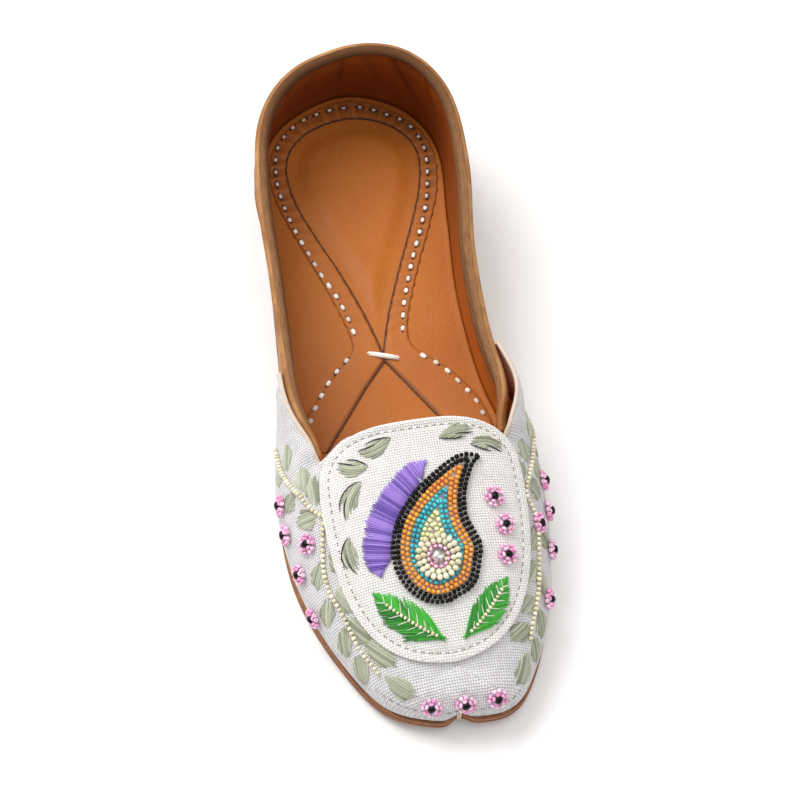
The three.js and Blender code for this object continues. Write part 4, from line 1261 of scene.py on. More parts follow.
def apron_outline(share):
    angle = share * 2 * np.pi
    c, s = np.cos(angle), np.sin(angle)
    power = 2 / np.where(s > 0, APRON_BACK_POWER, APRON_FRONT_POWER)
    length = np.where(s > 0, APRON_BACK, APRON_FRONT)
    x = np.sign(c) * np.abs(c) ** power * APRON_HALF_WIDTH
    return np.stack([x, np.sign(s) * np.abs(s) ** power * length], -1)

def apron_place(i, j):
    edge = apron_outline(np.mod(i, 1.0))
    plan = APRON_MIDDLE + edge * j[..., None]
    inset = np.linalg.norm(edge, axis=-1) * (1 - j)
    u, v = under_plan(plan[..., 0], plan[..., 1])
    dip = SEAM_DIP * np.exp(-(((inset - SEAM_INSET) / SEAM_REACH) ** 2))
    return u, v, np.full(u.shape, APRON_BOTTOM), APRON_TOP - dip

def even_rim(i, j):
    """Rows crowd towards the rim, where the seam is."""
    return apron_place(i, 1 - (1 - j) ** RIM_CROWDING)

apron_panel = panel([patch(220, 46, even_rim)], rim_steps=5)
apron = panel_piece("apron_linen", apron_panel, LINEN_CLOTH, woven=True)

# %% [markdown]
# ## Sewn shapes by Geometry Nodes
# Beads, strands and stitches repeat by the hundred, so each kind is one node tree. A tree takes a
# cloud of points that carry an axis, an up direction, a size and a shade, sets one low shape on
# each, and realises the result. Copies made one by one in Python would be slow and heavy.

# %% Helpers for node trees
def tree_node(tree, kind, settings=None, values=None):
    made = tree.nodes.new(kind)
    for name, value in (settings or {}).items():
        setattr(made, name, value)
    for key, value in (values or {}).items():
        plug(tree, made.inputs[key], value)
    return made

def new_tree(name, sizes):
    """An empty tree with a geometry input, named sizes and a finish."""
    tree = bpy.data.node_groups.new(name, "GeometryNodeTree")
    face = tree.interface
    face.new_socket("Places", in_out="INPUT", socket_type="NodeSocketGeometry")
    for size, value in sizes.items():
        face.new_socket(size, in_out="INPUT", socket_type="NodeSocketFloat").default_value = value
    face.new_socket("Finish", in_out="INPUT", socket_type="NodeSocketMaterial")
    face.new_socket("Sewn", in_out="OUTPUT", socket_type="NodeSocketGeometry")
    given = tree.nodes.new("NodeGroupInput")
    return tree, {s.name: s for s in given.outputs if s.name}

def close_tree(tree, given, geometry):
    """Realise, shade smooth, give the finish, and end the tree."""
    real = tree_node(tree, "GeometryNodeRealizeInstances", None, {"Geometry": geometry})
    smooth = tree_node(tree, "GeometryNodeSetShadeSmooth", None, {"Geometry": real.outputs[0]})
    painted = tree_node(
        tree, "GeometryNodeSetMaterial", None,
        {"Geometry": smooth.outputs[0], "Material": given["Finish"]},
    )
    last = tree.nodes.new("NodeGroupOutput")
    tree.links.new(painted.outputs[0], last.inputs["Sewn"])
    return tree

def set_on_places(tree, given, shape):
    """Sets a shape on each point, turned to its axis (X) and up direction (Z)."""
    read = {}
    for name in ("axis", "up", "fit"):
        settings = {"data_type": "FLOAT_VECTOR"}
        read[name] = tree_node(tree, "GeometryNodeInputNamedAttribute", settings, {"Name": name})
    turned = tree_node(
        tree, "FunctionNodeAxesToRotation", {"primary_axis": "X", "secondary_axis": "Z"},
        {"Primary Axis": read["axis"].outputs[0], "Secondary Axis": read["up"].outputs[0]},
    )
    return tree_node(
        tree, "GeometryNodeInstanceOnPoints", None,
        {
            "Points": given["Places"],
            "Instance": shape,
            "Rotation": turned.outputs[0],
            "Scale": read["fit"].outputs[0],
        },
    ).outputs[0]

def circle(tree, points, radius):
    values = {"Resolution": points, "Radius": radius}
    return tree_node(tree, "GeometryNodeCurvePrimitiveCircle", None, values).outputs[0]

def tube(tree, path, profile, scale=None):
    """A mesh round a path. An open path has a scale along it, and closed ends."""
    values = {"Curve": path, "Profile Curve": profile}
    if scale is not None:
        values.update({"Scale": scale.socket, "Fill Caps": True})
    return tree_node(tree, "GeometryNodeCurveToMesh", None, values).outputs[0]

def towards_ends(tree, power):
    """0 in the middle of a path and 1 at its ends."""
    share = tree_node(tree, "GeometryNodeSplineParameter").outputs[0]
    away = (Signal(tree, share) - 0.5).unsigned() * 2
    return away.math("POWER", away, power)

print("tree helpers ready")

# %% Node trees for beads, pearls, threads and trims
def bead_tree():
    """A seed bead: a ring with a bore, one unit across, strung along its axis."""
    tree, given = new_tree("seed_beads", {"Ring Radius": 0.29, "Wall Radius": 0.21})
    ring = tube(tree, circle(tree, 8, given["Ring Radius"]), circle(tree, 6, given["Wall Radius"]))
    values = {"Geometry": ring, "Rotation": (0, math.pi / 2, 0)}
    strung = tree_node(tree, "GeometryNodeTransform", None, values)
    return close_tree(tree, given, set_on_places(tree, given, strung.outputs[0]))

def pearl_tree():
    tree, given = new_tree("pearls", {"Radius": 0.5})
    values = {"Segments": 10, "Rings": 6, "Radius": given["Radius"]}
    ball = tree_node(tree, "GeometryNodeMeshUVSphere", None, values)
    return close_tree(tree, given, set_on_places(tree, given, ball.outputs[0]))

def thread_tree():
    """A strand: one unit long and across, with ends that dive into the cloth."""
    tree, given = new_tree("strands", {"Fullness": 0.5, "Arch": 0.35})
    values = {"Start": (-0.5, 0, 0), "End": (0.5, 0, 0)}
    line = tree_node(tree, "GeometryNodeCurvePrimitiveLine", None, values)
    values = {"Curve": line.outputs[0], "Count": 6}
    points = tree_node(tree, "GeometryNodeResampleCurve", None, values)
    drop = towards_ends(tree, 3.0)
    sunk = drop.node("ShaderNodeCombineXYZ", None, {"Z": -1 * drop * given["Arch"]})
    values = {"Geometry": points.outputs[0], "Offset": sunk.socket}
    bent = tree_node(tree, "GeometryNodeSetPosition", None, values)
    body = tube(tree, bent.outputs[0], circle(tree, 6, given["Fullness"]), 1 - drop * 0.6)
    return close_tree(tree, given, set_on_places(tree, given, body))

def trim_tree():
    """A round trim along lines of points, thinner towards its ends by a taper."""
    tree, given = new_tree("trims", {"Radius": 0.0005, "Taper": 0.0})
    path = tree_node(tree, "GeometryNodeMeshToCurve", None, {"Mesh": given["Places"]})
    thinner = towards_ends(tree, 4.0) * given["Taper"]
    body = tube(tree, path.outputs[0], circle(tree, 6, given["Radius"]), 1 - thinner)
    return close_tree(tree, given, body)

BEADS, PEARLS, STRANDS, TRIMS = bead_tree(), pearl_tree(), thread_tree(), trim_tree()
print("trees", [t.name for t in bpy.data.node_groups])

# %% Running a tree
def run_tree(name, tree, mesh, finish, **sizes):
    """Evaluates a tree on a mesh and keeps the result as a plain piece."""
    holder = bpy.data.objects.new(name + "_places", mesh)
    bpy.context.scene.collection.objects.link(holder)
    modifier = holder.modifiers.new("sewn", "NODES")
    modifier.node_group = tree
    for item in tree.interface.items_tree:
        if item.in_out == "INPUT" and item.name == "Finish":
            modifier[item.identifier] = finish
        elif item.in_out == "INPUT" and item.name in sizes:
            modifier[item.identifier] = sizes[item.name]
    ready = bpy.context.evaluated_depsgraph_get()
    made = bpy.data.meshes.new_from_object(holder.evaluated_get(ready))
    bpy.data.objects.remove(holder)
    bpy.data.meshes.remove(mesh)
    made.name = name
    made.materials.clear()
    made.materials.append(finish)
    made.polygons.foreach_set("material_index", np.zeros(len(made.polygons), np.int32))
    return show(name, made)

class Places:
    """A list of places to sew at: point, axis, up, fit and shade, in millimetres."""

    def __init__(self):
        self.rows = {key: [] for key in ("point", "axis", "up", "fit", "shade")}

    def add(self, point, axis, up, fit, shade=0.5):
        point = np.asarray(point, float).reshape(-1, 3)
        for key, value in (("point", point), ("axis", axis), ("up", up), ("fit", fit)):
            self.rows[key].append(np.broadcast_to(np.asarray(value, float), point.shape))
        self.rows["shade"].append(np.broadcast_to(np.asarray(shade, float), len(point)))

    def sew(self, name, tree, finish, **sizes):
        rows = {key: np.concatenate(parts) for key, parts in self.rows.items()}
        mesh = bpy.data.meshes.new(name + "_places")
        mesh.from_pydata(to_frame(rows["point"]).tolist(), [], [])
        for key, factor in (("axis", 1), ("up", 1), ("fit", 0.001)):
            store(mesh, key, rows[key] * factor, "FLOAT_VECTOR")
        store(mesh, "shade", rows["shade"])
        print(name, len(rows["point"]), "places")
        return run_tree(name, tree, mesh, finish, **sizes)

def sew_lines(name, lines, finish, radius, taper=0.0, shades=None):
    """Round strands along lines of points, each with its shade."""
    mesh = bpy.data.meshes.new(name + "_places")
    links, start = [], 0
    for line in lines:
        links += [(k, k + 1) for k in range(start, start + len(line) - 1)]
        start += len(line)
    mesh.from_pydata(to_frame(np.concatenate(lines)).tolist(), links, [])
    shades = [0.5] * len(lines) if shades is None else shades
    store(mesh, "shade", np.repeat(shades, [len(line) for line in lines]))
    return run_tree(name, TRIMS, mesh, finish, Radius=radius / 1000, Taper=taper)

print("sewing helpers ready")

# %% [markdown]
# ## Paths on the shoe
# Embroidery follows lines on the cloth. A line is given by a few places on the skin, smoothed, and
# walked in equal steps, and every step knows its tangent and the cloth's normal there.

# %% Walking along a line
def on_cloth(uv, height):
    """Points over the cloth, and the normals there."""
    u, v = uv[:, 0], uv[:, 1]
    normal = skin_normal(u, v)
    base = cloth_low(u, v) + CLOTH_WALL
    return skin(u, v) + normal * (base + height)[:, None], normal

def on_apron(plan, height):
    u, v = under_plan(plan[:, 0], plan[:, 1])
    normal = skin_normal(u, v)
    return skin(u, v) + normal * np.reshape(APRON_TOP + height, (-1, 1)), normal

def tangents(points):
    return unit(np.gradient(points, axis=0))

def spaced(points, normal, pitch):
    """Spots in equal steps along a line, with its direction and its normal there."""
    at = walk(points, pitch)
    return at_share(points, at), unit(at_share(tangents(points), at)), unit(at_share(normal, at))

def across_line(line):
    """Direction across a line in plan, at each of its points."""
    ahead = tangents(line[:, :2])
    return np.stack([ahead[:, 1], -ahead[:, 0]], -1)

def side_rows(side, rows):
    """(round, height) rows of a side as (u, v) rows."""
    rows = np.asarray(rows, float)
    u = on_side(side, rows[:, 0])
    return np.stack([u, at_height(u, rows[:, 1])], -1)

SEED_OF_DRAWS = 7
rng = np.random.default_rng(SEED_OF_DRAWS)
print("paths on the shoe ready")

# %% [markdown]
# ## Vines
# A row of cream seed beads makes a stem along each side of the vamp, and sage silk leaves grow from
# it in pairs. A leaf is a bundle of long satin stitches side by side, each cut off by its outline.

# %% Stems of seed beads
# place round the side in sections from the toe, and height of the leather under it
STEMS = {
    "lateral": (
        ((4.7, 36.6), (4.57, 34.5), (4.29, 31.4), (4.02, 28.3), (3.75, 26), (3.46, 24.7),
         (3.17, 23), (2.83, 20.7), (2.55, 19.7), (2.39, 19)),
        ((4.7, 36.6), (4.79, 35.5), (4.98, 34.3), (5.14, 33.5), (5.34, 31.4), (5.62, 28.3),
         (5.97, 25), (6.23, 22.5)),
    ),
    "medial": (
        ((4.66, 33.4), (4.5, 30.8), (4.38, 28.8), (4.23, 27.5), (4.01, 26.4), (3.79, 25.2), (3.56, 24),
         (3.34, 22.9), (3.07, 21.9), (2.83, 21.1), (2.57, 19.6)),
        ((4.66, 33.4), (4.85, 33.2), (5.13, 31.8), (5.42, 29.9), (5.75, 27.4), (6.1, 24.6)),
    ),
}
SEED = 1.75
SEED_PITCH = 1.72
SEED_SUNK = 0.1
BEAD_LENGTH = 1.95
BEAD_JITTER = 0.07

def string_beads(places, points, normal, size, pitch):
    """Beads on a string along a line."""
    spot, along, up = spaced(points, normal, pitch)
    jitter = 1 + BEAD_JITTER * rng.standard_normal((len(spot), 1))
    fit = np.array([size * BEAD_LENGTH, size, size]) * jitter
    places.add(spot, along, up, fit, rng.random(len(spot)))

vine_beads = Places()
for side, stems in STEMS.items():
    for stem in stems:
        line, line_up = on_cloth(smooth_line(side_rows(side, stem)), SEED / 2 - SEED_SUNK)
        string_beads(vine_beads, line, line_up, SEED, SEED_PITCH)
vines = vine_beads.sew("vine_beads", BEADS, CREAM_BEAD)

# %% Sage leaves along the stems
# base round and height, tip round and height, half width in millimetres
SIDE_LEAVES = {
    "lateral": (
        (4.28, 32.2, 3.87, 32, 2.9), (4.2, 30, 3.84, 22.2, 2.6), (3.77, 27.3, 3.31, 27.4, 3.1),
        (3.72, 24.5, 3.33, 16.9, 2.7), (3.34, 23.2, 2.85, 24.3, 3.1), (3.27, 21.8, 2.81, 15, 2.6),
        (2.92, 22.2, 2.39, 22.8, 2.9), (2.83, 19, 2.38, 12.7, 2.7), (2.38, 19, 1.55, 19, 2.6),
        (4.89, 36.5, 5.4, 37.9, 2.5), (5.18, 35, 5.61, 36, 2.6), (5.66, 30.2, 6.09, 34, 2.6),
        (6.03, 24.4, 5.58, 22.6, 2.6), (5.3, 31.2, 5.08, 23.6, 2.9), (4.79, 35.4, 4.8, 27.2, 3.0),
    ),
    "medial": (
        (4.27, 28.4, 3.79, 29.6, 2.8), (3.78, 26.6, 3.34, 26.9, 2.8), (3.63, 24.5, 3.29, 18.6, 2.6),
        (3.26, 23.8, 2.91, 24.3, 2.9), (3.08, 21.1, 2.71, 13.9, 2.6), (2.85, 22, 2.49, 22.7, 2.9),
        (2.65, 19.1, 2.33, 12.4, 2.5), (2.46, 19.3, 1.61, 15.3, 2.6), (4.3, 27.4, 4.02, 19.4, 2.7),
        (4.8, 34.4, 5.2, 37.2, 2.5), (5.16, 32.5, 5.56, 36, 2.6), (5.6, 29.2, 6.02, 34, 2.6),
        (5.86, 25.8, 5.46, 21.6, 2.6), (5.3, 30, 5.06, 23, 2.7), (4.88, 32.6, 4.72, 25.4, 2.8),
    ),
}
LEAF_FULLNESS = 1.38
SATIN_PITCH = 0.74
SATIN_RADIUS = 0.48
SATIN_LIFT = 0.06
SATIN_TAPER = 0.6
SATIN_SLANT = 0.6
SATIN_POINTS = 7
LEAF_STEP = 0.01

def leaf_width(share):
    """Half width of a leaf along its length, from 0 to 1."""
    return np.sin(np.pi * np.clip(share, 0, 1) ** 1.1) ** 0.6

def satin_leaf(half, place, lines, shades):
    """Long strands side by side; place turns shares and offsets into points."""
    count = max(int(round(2 * half / SATIN_PITCH)), 4)
    share = np.linspace(0, 1, 201)
    for k in range(count):
        offset = 2 * (k + 0.5) / count - 1
        inside = share[leaf_width(share) >= abs(offset)]
        begin, end = inside[0] + 0.08 * rng.random(), inside[-1] - 0.14 * rng.random()
        along = np.linspace(begin, end, SATIN_POINTS)
        turned = np.linspace(SATIN_SLANT, -SATIN_SLANT, SATIN_POINTS)
        slant = turned * SATIN_PITCH + 0.1 * rng.standard_normal()
        lines.append(place(along, half * offset * 0.93 + slant))
        # every other strand is lighter on one half of the leaf and darker on the other: painted sheen
        sheen_halves = 0.5 + 0.2 * np.sign(offset) * (k % 2)
        shades.append(np.clip(sheen_halves + 0.22 * rng.standard_normal(), 0, 1))

def cloth_leaf(base, tip, half, lines, shades):
    """A satin leaf on the cloth from base to tip, both (u, v)."""
    ends = skin(np.array([base[0], tip[0]]), np.array([base[1], tip[1]]))
    axis = unit(ends[1] - ends[0])

    def place(share, offset):
        uv = base + share[:, None] * (tip - base)
        here = skin(uv[:, 0], uv[:, 1])
        du = (skin(uv[:, 0] + LEAF_STEP, uv[:, 1]) - here) / LEAF_STEP
        dv = (skin(uv[:, 0], uv[:, 1] + LEAF_STEP) - here) / LEAF_STEP
        side = unit(np.cross(skin_normal(uv[:, 0], uv[:, 1]), axis))
        a, b, c = (du * du).sum(1), (du * dv).sum(1), (dv * dv).sum(1)
        p, q = (du * side).sum(1), (dv * side).sum(1)
        det = a * c - b * b
        move = np.stack([(c * p - b * q) / det, (a * q - b * p) / det], -1)
        return on_cloth(uv + move * offset[:, None], SATIN_LIFT)[0]

    satin_leaf(half, place, lines, shades)

sage_lines, sage_shades = [], []
for side, leaves in SIDE_LEAVES.items():
    for base_round, base_height, tip_round, tip_height, half in leaves:
        base, tip = side_rows(side, ((base_round, base_height), (tip_round, tip_height)))
        cloth_leaf(base, tip, half * LEAF_FULLNESS, sage_lines, sage_shades)
sage_leaves = sew_lines("sage_leaves", sage_lines, SAGE_SILK, SATIN_RADIUS, SATIN_TAPER, sage_shades)

# %% [markdown]
# ## Bead flowers
# A flower is five petals of three clear pink beads round a black one. The same small layout is set on
# the cloth along the sides and the toe, and on the apron.

# %% Flowers
SIDE_FLOWERS = {
    "lateral": (
        (5.27, 22.5), (4.82, 20.9), (4.48, 28.8), (4.21, 20.1), (3.62, 14), (1.12, 16.9), (0.2, 17.5),
    ),
    "medial": ((5.03, 23.2), (4.3, 27.2), (4.6, 20.4), (4.04, 18.4), (3.29, 17.2), (0.77, 17.4)),
}
APRON_FLOWERS = ((21.8, 47), (22.6, 56.5), (20.6, 65.5))
FLOWER_LIFT = 0.15
FLOWER_TURN = 6
PETALS = 5
PETAL_BEAD = 2.0
HEART_BEAD = 2.6
HEART_LIFT = 1.6
HEART_LENGTH = 2.6
PETAL_LENGTH = 1.7
# distance from the middle, then the spread, lift and size in petal beads
PETAL_SPOTS = ((1.75, 0.0, 0.62, 0.95), (2.95, 0.42, 0.5, 0.8), (2.95, -0.42, 0.5, 0.8))

def add_flower(petals, hearts, centre, normal, turn):
    aside = unit(np.cross(normal, (0.2, 1, 0.1)))
    forth = np.cross(normal, aside)
    for k in range(PETALS):
        angle = turn + 2 * np.pi * k / PETALS
        ray = aside * math.cos(angle) + forth * math.sin(angle)
        across = np.cross(normal, ray)
        for distance, spread, lift, size in PETAL_SPOTS:
            spot = centre + ray * distance + across * spread * PETAL_BEAD
            fit = np.array([PETAL_LENGTH, 1, 1]) * (PETAL_BEAD * size)
            petals.add(spot + normal * (PETAL_BEAD * lift), ray, normal, fit, rng.random())
    fit = np.array([HEART_LENGTH, 1, 1]) * HEART_BEAD
    hearts.add(centre + normal * HEART_LIFT, ray, normal, fit, rng.random())

petal_beads, heart_beads = Places(), Places()
for side, flowers in SIDE_FLOWERS.items():
    for spot, normal in zip(*on_cloth(side_rows(side, flowers), FLOWER_LIFT)):
        add_flower(petal_beads, heart_beads, spot, normal, rng.random() * FLOWER_TURN)
for spot, normal in zip(*on_apron(np.array(APRON_FLOWERS, float), FLOWER_LIFT)):
    add_flower(petal_beads, heart_beads, spot, normal, rng.random() * FLOWER_TURN)
flower_petals = petal_beads.sew("flower_petals", BEADS, PINK_BEAD)
flower_hearts = heart_beads.sew("flower_hearts", BEADS, BLACK_BEAD)

# %% [markdown]
# ## Paisley
# The main motif on the apron is a paisley of strung seed beads. Its outline comes from a curved
# middle line with half widths. Rows of beads follow the outline further and further in: each row
# is the outline moved inwards, without the places where the moved line comes too near the edge.

# %% Paisley rows
# x and station of the middle line, and half width
PAISLEY = (
    (1, 33.2, 0), (0.7, 35, 6.6), (0.3, 39.2, 11.4), (-0.5, 48.2, 14.8), (0, 56.5, 13.6),
    (2.5, 64, 10), (7.5, 71.5, 6.2), (13.5, 77.2, 3.2), (19.5, 79, 0),
)
FIRST_ROW = 0.8
ROW_PITCH = 1.5
PAISLEY_LIFT = 0.45
BEAD_PITCH = 1.62
PAISLEY_BEAD = 1.62
PAISLEY_BEAD_LENGTH = 2.1
PAISLEY_JITTER = 0.06
OUTLINE_STEP = 0.35
# how much nearer to the edge a row may come, and the widest step inside one run of a row
ROW_SLACK, ROW_GAP = 0.12, 1.2
# every other row starts a little later
ROW_START = 0.4
ROW_COLOURS = [
    name for name in ("black", "orange", "turquoise", "lemon", "pink") for _ in range(2)
]

def leaf_outline(rows, steps=40):
    """The closed outline of a shape given by a middle line and half widths."""
    line = smooth_line(rows, steps)
    across = across_line(line)
    half = np.maximum(line[:, 2:], 0)
    return np.concatenate([line[:, :2] + across * half, (line[:, :2] - across * half)[::-1]])

def equal_steps(points, step):
    length = run_length(points)
    wanted = np.arange(0, length[-1], step)
    return np.stack([np.interp(wanted, length, points[:, k]) for k in (0, 1)], -1)

def inner_runs(edge, inset):
    """The parts of a closed outline, moved in by an inset, that keep that distance."""
    ahead = unit(np.roll(edge, -1, axis=0) - np.roll(edge, 1, axis=0))
    area = (edge[:, 0] * np.roll(edge[:, 1], -1) - np.roll(edge[:, 0], -1) * edge[:, 1]).sum()
    inward = np.stack([-ahead[:, 1], ahead[:, 0]], -1) * np.sign(area)
    moved = edge + inward * inset
    apart = np.linalg.norm(moved[:, None] - edge[None], axis=-1).min(1)
    good = apart > inset - ROW_SLACK
    if good.all():
        return [np.concatenate([moved, moved[:1]])]
    start = int(np.argmin(good))
    moved, good = np.roll(moved, -start, axis=0), np.roll(good, -start)
    runs, run = [], []
    for point, ok in zip(moved, good):
        if ok and (not run or np.linalg.norm(point - run[-1]) < ROW_GAP):
            run.append(point)
        else:
            runs.append(run)
            run = [point] if ok else []
    return [np.array(r) for r in runs + [run] if len(r) > 3]

paisley_edge = equal_steps(leaf_outline(PAISLEY), OUTLINE_STEP)
bead_rows = {name: Places() for name in dict.fromkeys(ROW_COLOURS)}
for number, name in enumerate(ROW_COLOURS):
    for run in inner_runs(paisley_edge, FIRST_ROW + ROW_PITCH * number):
        plan = at_share(run, walk(run, BEAD_PITCH, start=ROW_START if number % 2 else 0.0))
        if len(plan) < 2:
            continue
        spot, up = on_apron(plan, PAISLEY_LIFT + 0.5 * PAISLEY_BEAD)
        jitter = 1 + PAISLEY_JITTER * rng.standard_normal((len(spot), 1))
        fit = np.array([PAISLEY_BEAD * PAISLEY_BEAD_LENGTH, PAISLEY_BEAD, PAISLEY_BEAD]) * jitter
        bead_rows[name].add(spot, tangents(spot), up, fit, rng.random(len(spot)))
BEAD_FINISH = {
    "black": BLACK_BEAD, "orange": ORANGE_BEAD, "turquoise": TURQUOISE_BEAD, "lemon": LEMON_BEAD,
    "pink": PINK_BEAD,
}
paisley = {
    name: places.sew("paisley_" + name, BEADS, BEAD_FINISH[name])
    for name, places in bead_rows.items() if places.rows["point"]
}

# %% [markdown]
# ## Rosette
# In the bulb of the paisley sits a rosette: two rings of cream pearls, a ring of pink beads and a
# cut stone. The stone is a low faceted dome, so its edges stay flat-shaded.

# %% Rosette
ROSETTE = np.array([-0.5, 48.0])
# radius, count, size and kind of the beads in each ring
ROSETTE_RINGS = ((6.5, 20, 2.1, "pearl"), (4.9, 16, 1.95, "pearl"), (3.3, 12, 1.6, "pink"))
ROSETTE_LIFT = 1.75
PEARL_LENGTH, RING_BEAD_LENGTH = 1.15, 1.7
GEM_RADIUS, GEM_HEIGHT, GEM_LIFT = 2.0, 1.5, 0.2

def ring_plan(centre, radius, count, turn=0.0):
    angle = turn + 2 * np.pi * np.arange(count) / count
    return centre + radius * np.stack([np.cos(angle), np.sin(angle)], -1)

pearls, rosette_pink = Places(), Places()
for radius, count, size, kind in ROSETTE_RINGS:
    spot, up = on_apron(ring_plan(ROSETTE, radius, count, radius), ROSETTE_LIFT + size / 2)
    centre = on_apron(ROSETTE[None], ROSETTE_LIFT)[0][0]
    if kind == "pearl":
        pearls.add(spot, unit(spot - centre), up, (size * PEARL_LENGTH, size, size), rng.random(count))
    else:
        fit = (size * RING_BEAD_LENGTH, size, size)
        rosette_pink.add(spot, unit(spot - centre), up, fit, rng.random(count))
rosette_pearls = pearls.sew("rosette_pearls", PEARLS, CREAM_BEAD)
rosette_ring = rosette_pink.sew("rosette_ring", BEADS, PINK_BEAD)

# %% Cut stone
# share of the radius, share of the height and turn of each ring of eight corners
STONE_RINGS = ((0.7, 0, 0), (1.0, 0.35, 0.5), (0.62, 0.85, 0), (0.36, 1.0, 0.5))

def crystal():
    finish = Finish("cut_stone", Specular_IOR_Level=0.9, Coat_Weight=1.0, Coat_Roughness=0.02)
    cloud = finish.noise(finish.place(), 900, 1, 0.5)
    finish.feed(
        Base_Color=cloud.between(0.35, 0.65).blend(colour(150, 146, 140), colour(252, 250, 246)),
        Roughness=0.04 + 0.1 * cloud,
        Metallic=0.35 * cloud,
    )
    return finish.material

def stone_mesh(centre, normal, radius, height):
    aside = unit(np.cross(normal, (0, 1, 0)))
    forth = np.cross(normal, aside)
    rings = []
    for share, lift, turn in STONE_RINGS:
        angle = (np.arange(8) + turn) * np.pi / 4
        ring = aside * np.cos(angle)[:, None] + forth * np.sin(angle)[:, None]
        rings.append(centre + ring * radius * share + normal * height * lift)
    faces = [list(range(7, -1, -1)), list(range(24, 32))]
    for row in range(3):
        for k in range(8):
            a, b = row * 8 + k, row * 8 + (k + 1) % 8
            if row % 2 == 0:
                faces += [[a, b, a + 8], [b, b + 8, a + 8]]
            else:
                faces += [[a, b, b + 8], [a, b + 8, a + 8]]
    return np.concatenate(rings), faces

stone_spot, stone_up = on_apron(ROSETTE[None], ROSETTE_LIFT + GEM_LIFT)
stone_points, stone_faces = stone_mesh(stone_spot[0], stone_up[0], GEM_RADIUS, GEM_HEIGHT)
stone = make_piece("rosette_stone", stone_points, stone_faces, crystal())
stone.data.shade_flat()
print("rosette at", stone_spot[0].round(1))

# %% [markdown]
# ## Silk fan and green leaves
# The fan is a bent band of purple silk with strands across it. The two green leaves have slanted
# strands, a vein of small cream beads and thin white side veins.

# %% Fan of short strands
def lay_strands(places, begin, end, normal, width, height, shade):
    middle, gap = (begin + end) / 2, end - begin
    length = np.linalg.norm(gap, axis=1)
    across = np.broadcast_to((width, height), (len(length), 2))
    fit = np.column_stack([length + width * 0.6, across])
    places.add(middle, unit(gap), normal, fit, shade)

FAN = (
    (-19.5, 45, 0), (-19.8, 50, 3), (-17.2, 60, 3.6), (-11, 69, 3.4), (-3.8, 75.5, 2.6), (0.6, 78.5, 0),
)

def band_strands(rows, pitch, width, height, places, lift):
    line = smooth_line(rows, 40)
    at = walk(line[:, :2], pitch)
    spots = at_share(line, at)
    ahead = unit(at_share(np.gradient(line[:, :2], axis=0), at))
    across = np.stack([ahead[:, 1], -ahead[:, 0]], -1)
    half = np.maximum(spots[:, 2:], 0.3)
    rough = 1 + 0.07 * rng.standard_normal((len(spots), 1))
    begin, up = on_apron(spots[:, :2] + across * half * rough, lift)
    end, _ = on_apron(spots[:, :2] - across * half * rough[::-1] + ahead * 0.6, lift)
    lay_strands(places, begin, end, up, width, height, rng.random(len(spots)))

fan_strands = Places()
band_strands(FAN, pitch=0.6, width=0.9, height=1.35, places=fan_strands, lift=0.5)
fan = fan_strands.sew("silk_fan", STRANDS, PURPLE_SILK)

# %% Green leaves
GREEN_LEAVES = {
    "lateral": ((-3, 23.2, 0), (-7.6, 26, 3.2), (-12.8, 30.3, 4.2), (-18, 35.6, 3), (-22.2, 40.8, 0)),
    "medial": ((4.6, 22.8, 0), (9, 26, 3), (13.4, 30.4, 3.8), (17.4, 35.2, 2.6), (20.6, 39.6, 0)),
}
# first and last point of the beaded vein on the middle line, its height, bead and pitch
VEIN_FROM, VEIN_TO = 12, -30
VEIN_LIFT = 1.35
VEIN_BEAD, VEIN_PITCH = 1.3, 1.45
# points of the middle line where side veins start, how far ahead they end and their reach
SIDE_VEINS = range(24, 140, 18)
SIDE_VEIN_AHEAD = 12
SIDE_VEIN_REACH = 0.62
SIDE_VEIN_START, SIDE_VEIN_END = 1.15, 1.05
SIDE_VEIN_WIDTH, SIDE_VEIN_HEIGHT = 0.3, 0.4

def plan_leaf(rows, pitch, slant, places, width, height, lift, wobble):
    """Slanted strands from the middle line of a leaf on the apron to its margin."""
    line = smooth_line(rows, 40)
    across = across_line(line)
    count = int(run_length(line[:, :2])[-1] / pitch)
    last = len(line) - 1
    for hand in (-1, 1):
        start = np.linspace(0, 0.95, count)
        finish = np.clip(start + slant * (1 - 0.7 * start), 0, 1)
        half = np.maximum(at_share(line, finish * last)[:, 2], 0.2)
        teeth = 1 + wobble * rng.standard_normal(count)
        begin, up = on_apron(at_share(line, start * last)[:, :2], lift + 0.25)
        margin = at_share(line, finish * last)[:, :2]
        margin = margin + hand * at_share(across, finish * last) * (half * teeth)[:, None]
        end, _ = on_apron(margin, lift)
        # one half of the leaf is lighter than the other: painted sheen
        shade = np.clip(0.5 + 0.15 * hand + 0.2 * rng.standard_normal(count), 0, 1)
        lay_strands(places, begin, end, up, width, height, shade)
    return line

green_strands, vein_beads, vein_threads = {}, Places(), Places()
for side, rows in GREEN_LEAVES.items():
    green_strands[side] = Places()
    line = plan_leaf(
        rows, pitch=0.46, slant=0.3, places=green_strands[side], width=0.74, height=1.0, lift=0.42,
        wobble=0.1,
    )
    vein, vein_up = on_apron(line[VEIN_FROM:VEIN_TO, :2], VEIN_LIFT)
    string_beads(vein_beads, vein, vein_up, VEIN_BEAD, VEIN_PITCH)
    across = across_line(line)
    for at in SIDE_VEINS:
        for hand in (-1, 1):
            reach = hand * across[at] * line[at, 2] * SIDE_VEIN_REACH
            tip = line[at + SIDE_VEIN_AHEAD, :2] + reach
            begin, up = on_apron(line[at:at + 1, :2], SIDE_VEIN_START)
            end, _ = on_apron(tip[None], SIDE_VEIN_END)
            lay_strands(
                vein_threads, begin, end, up, SIDE_VEIN_WIDTH, SIDE_VEIN_HEIGHT, rng.random(1)
            )
green_leaves = {
    side: places.sew("green_leaf_" + side, STRANDS, GREEN_SILK)
    for side, places in green_strands.items()
}
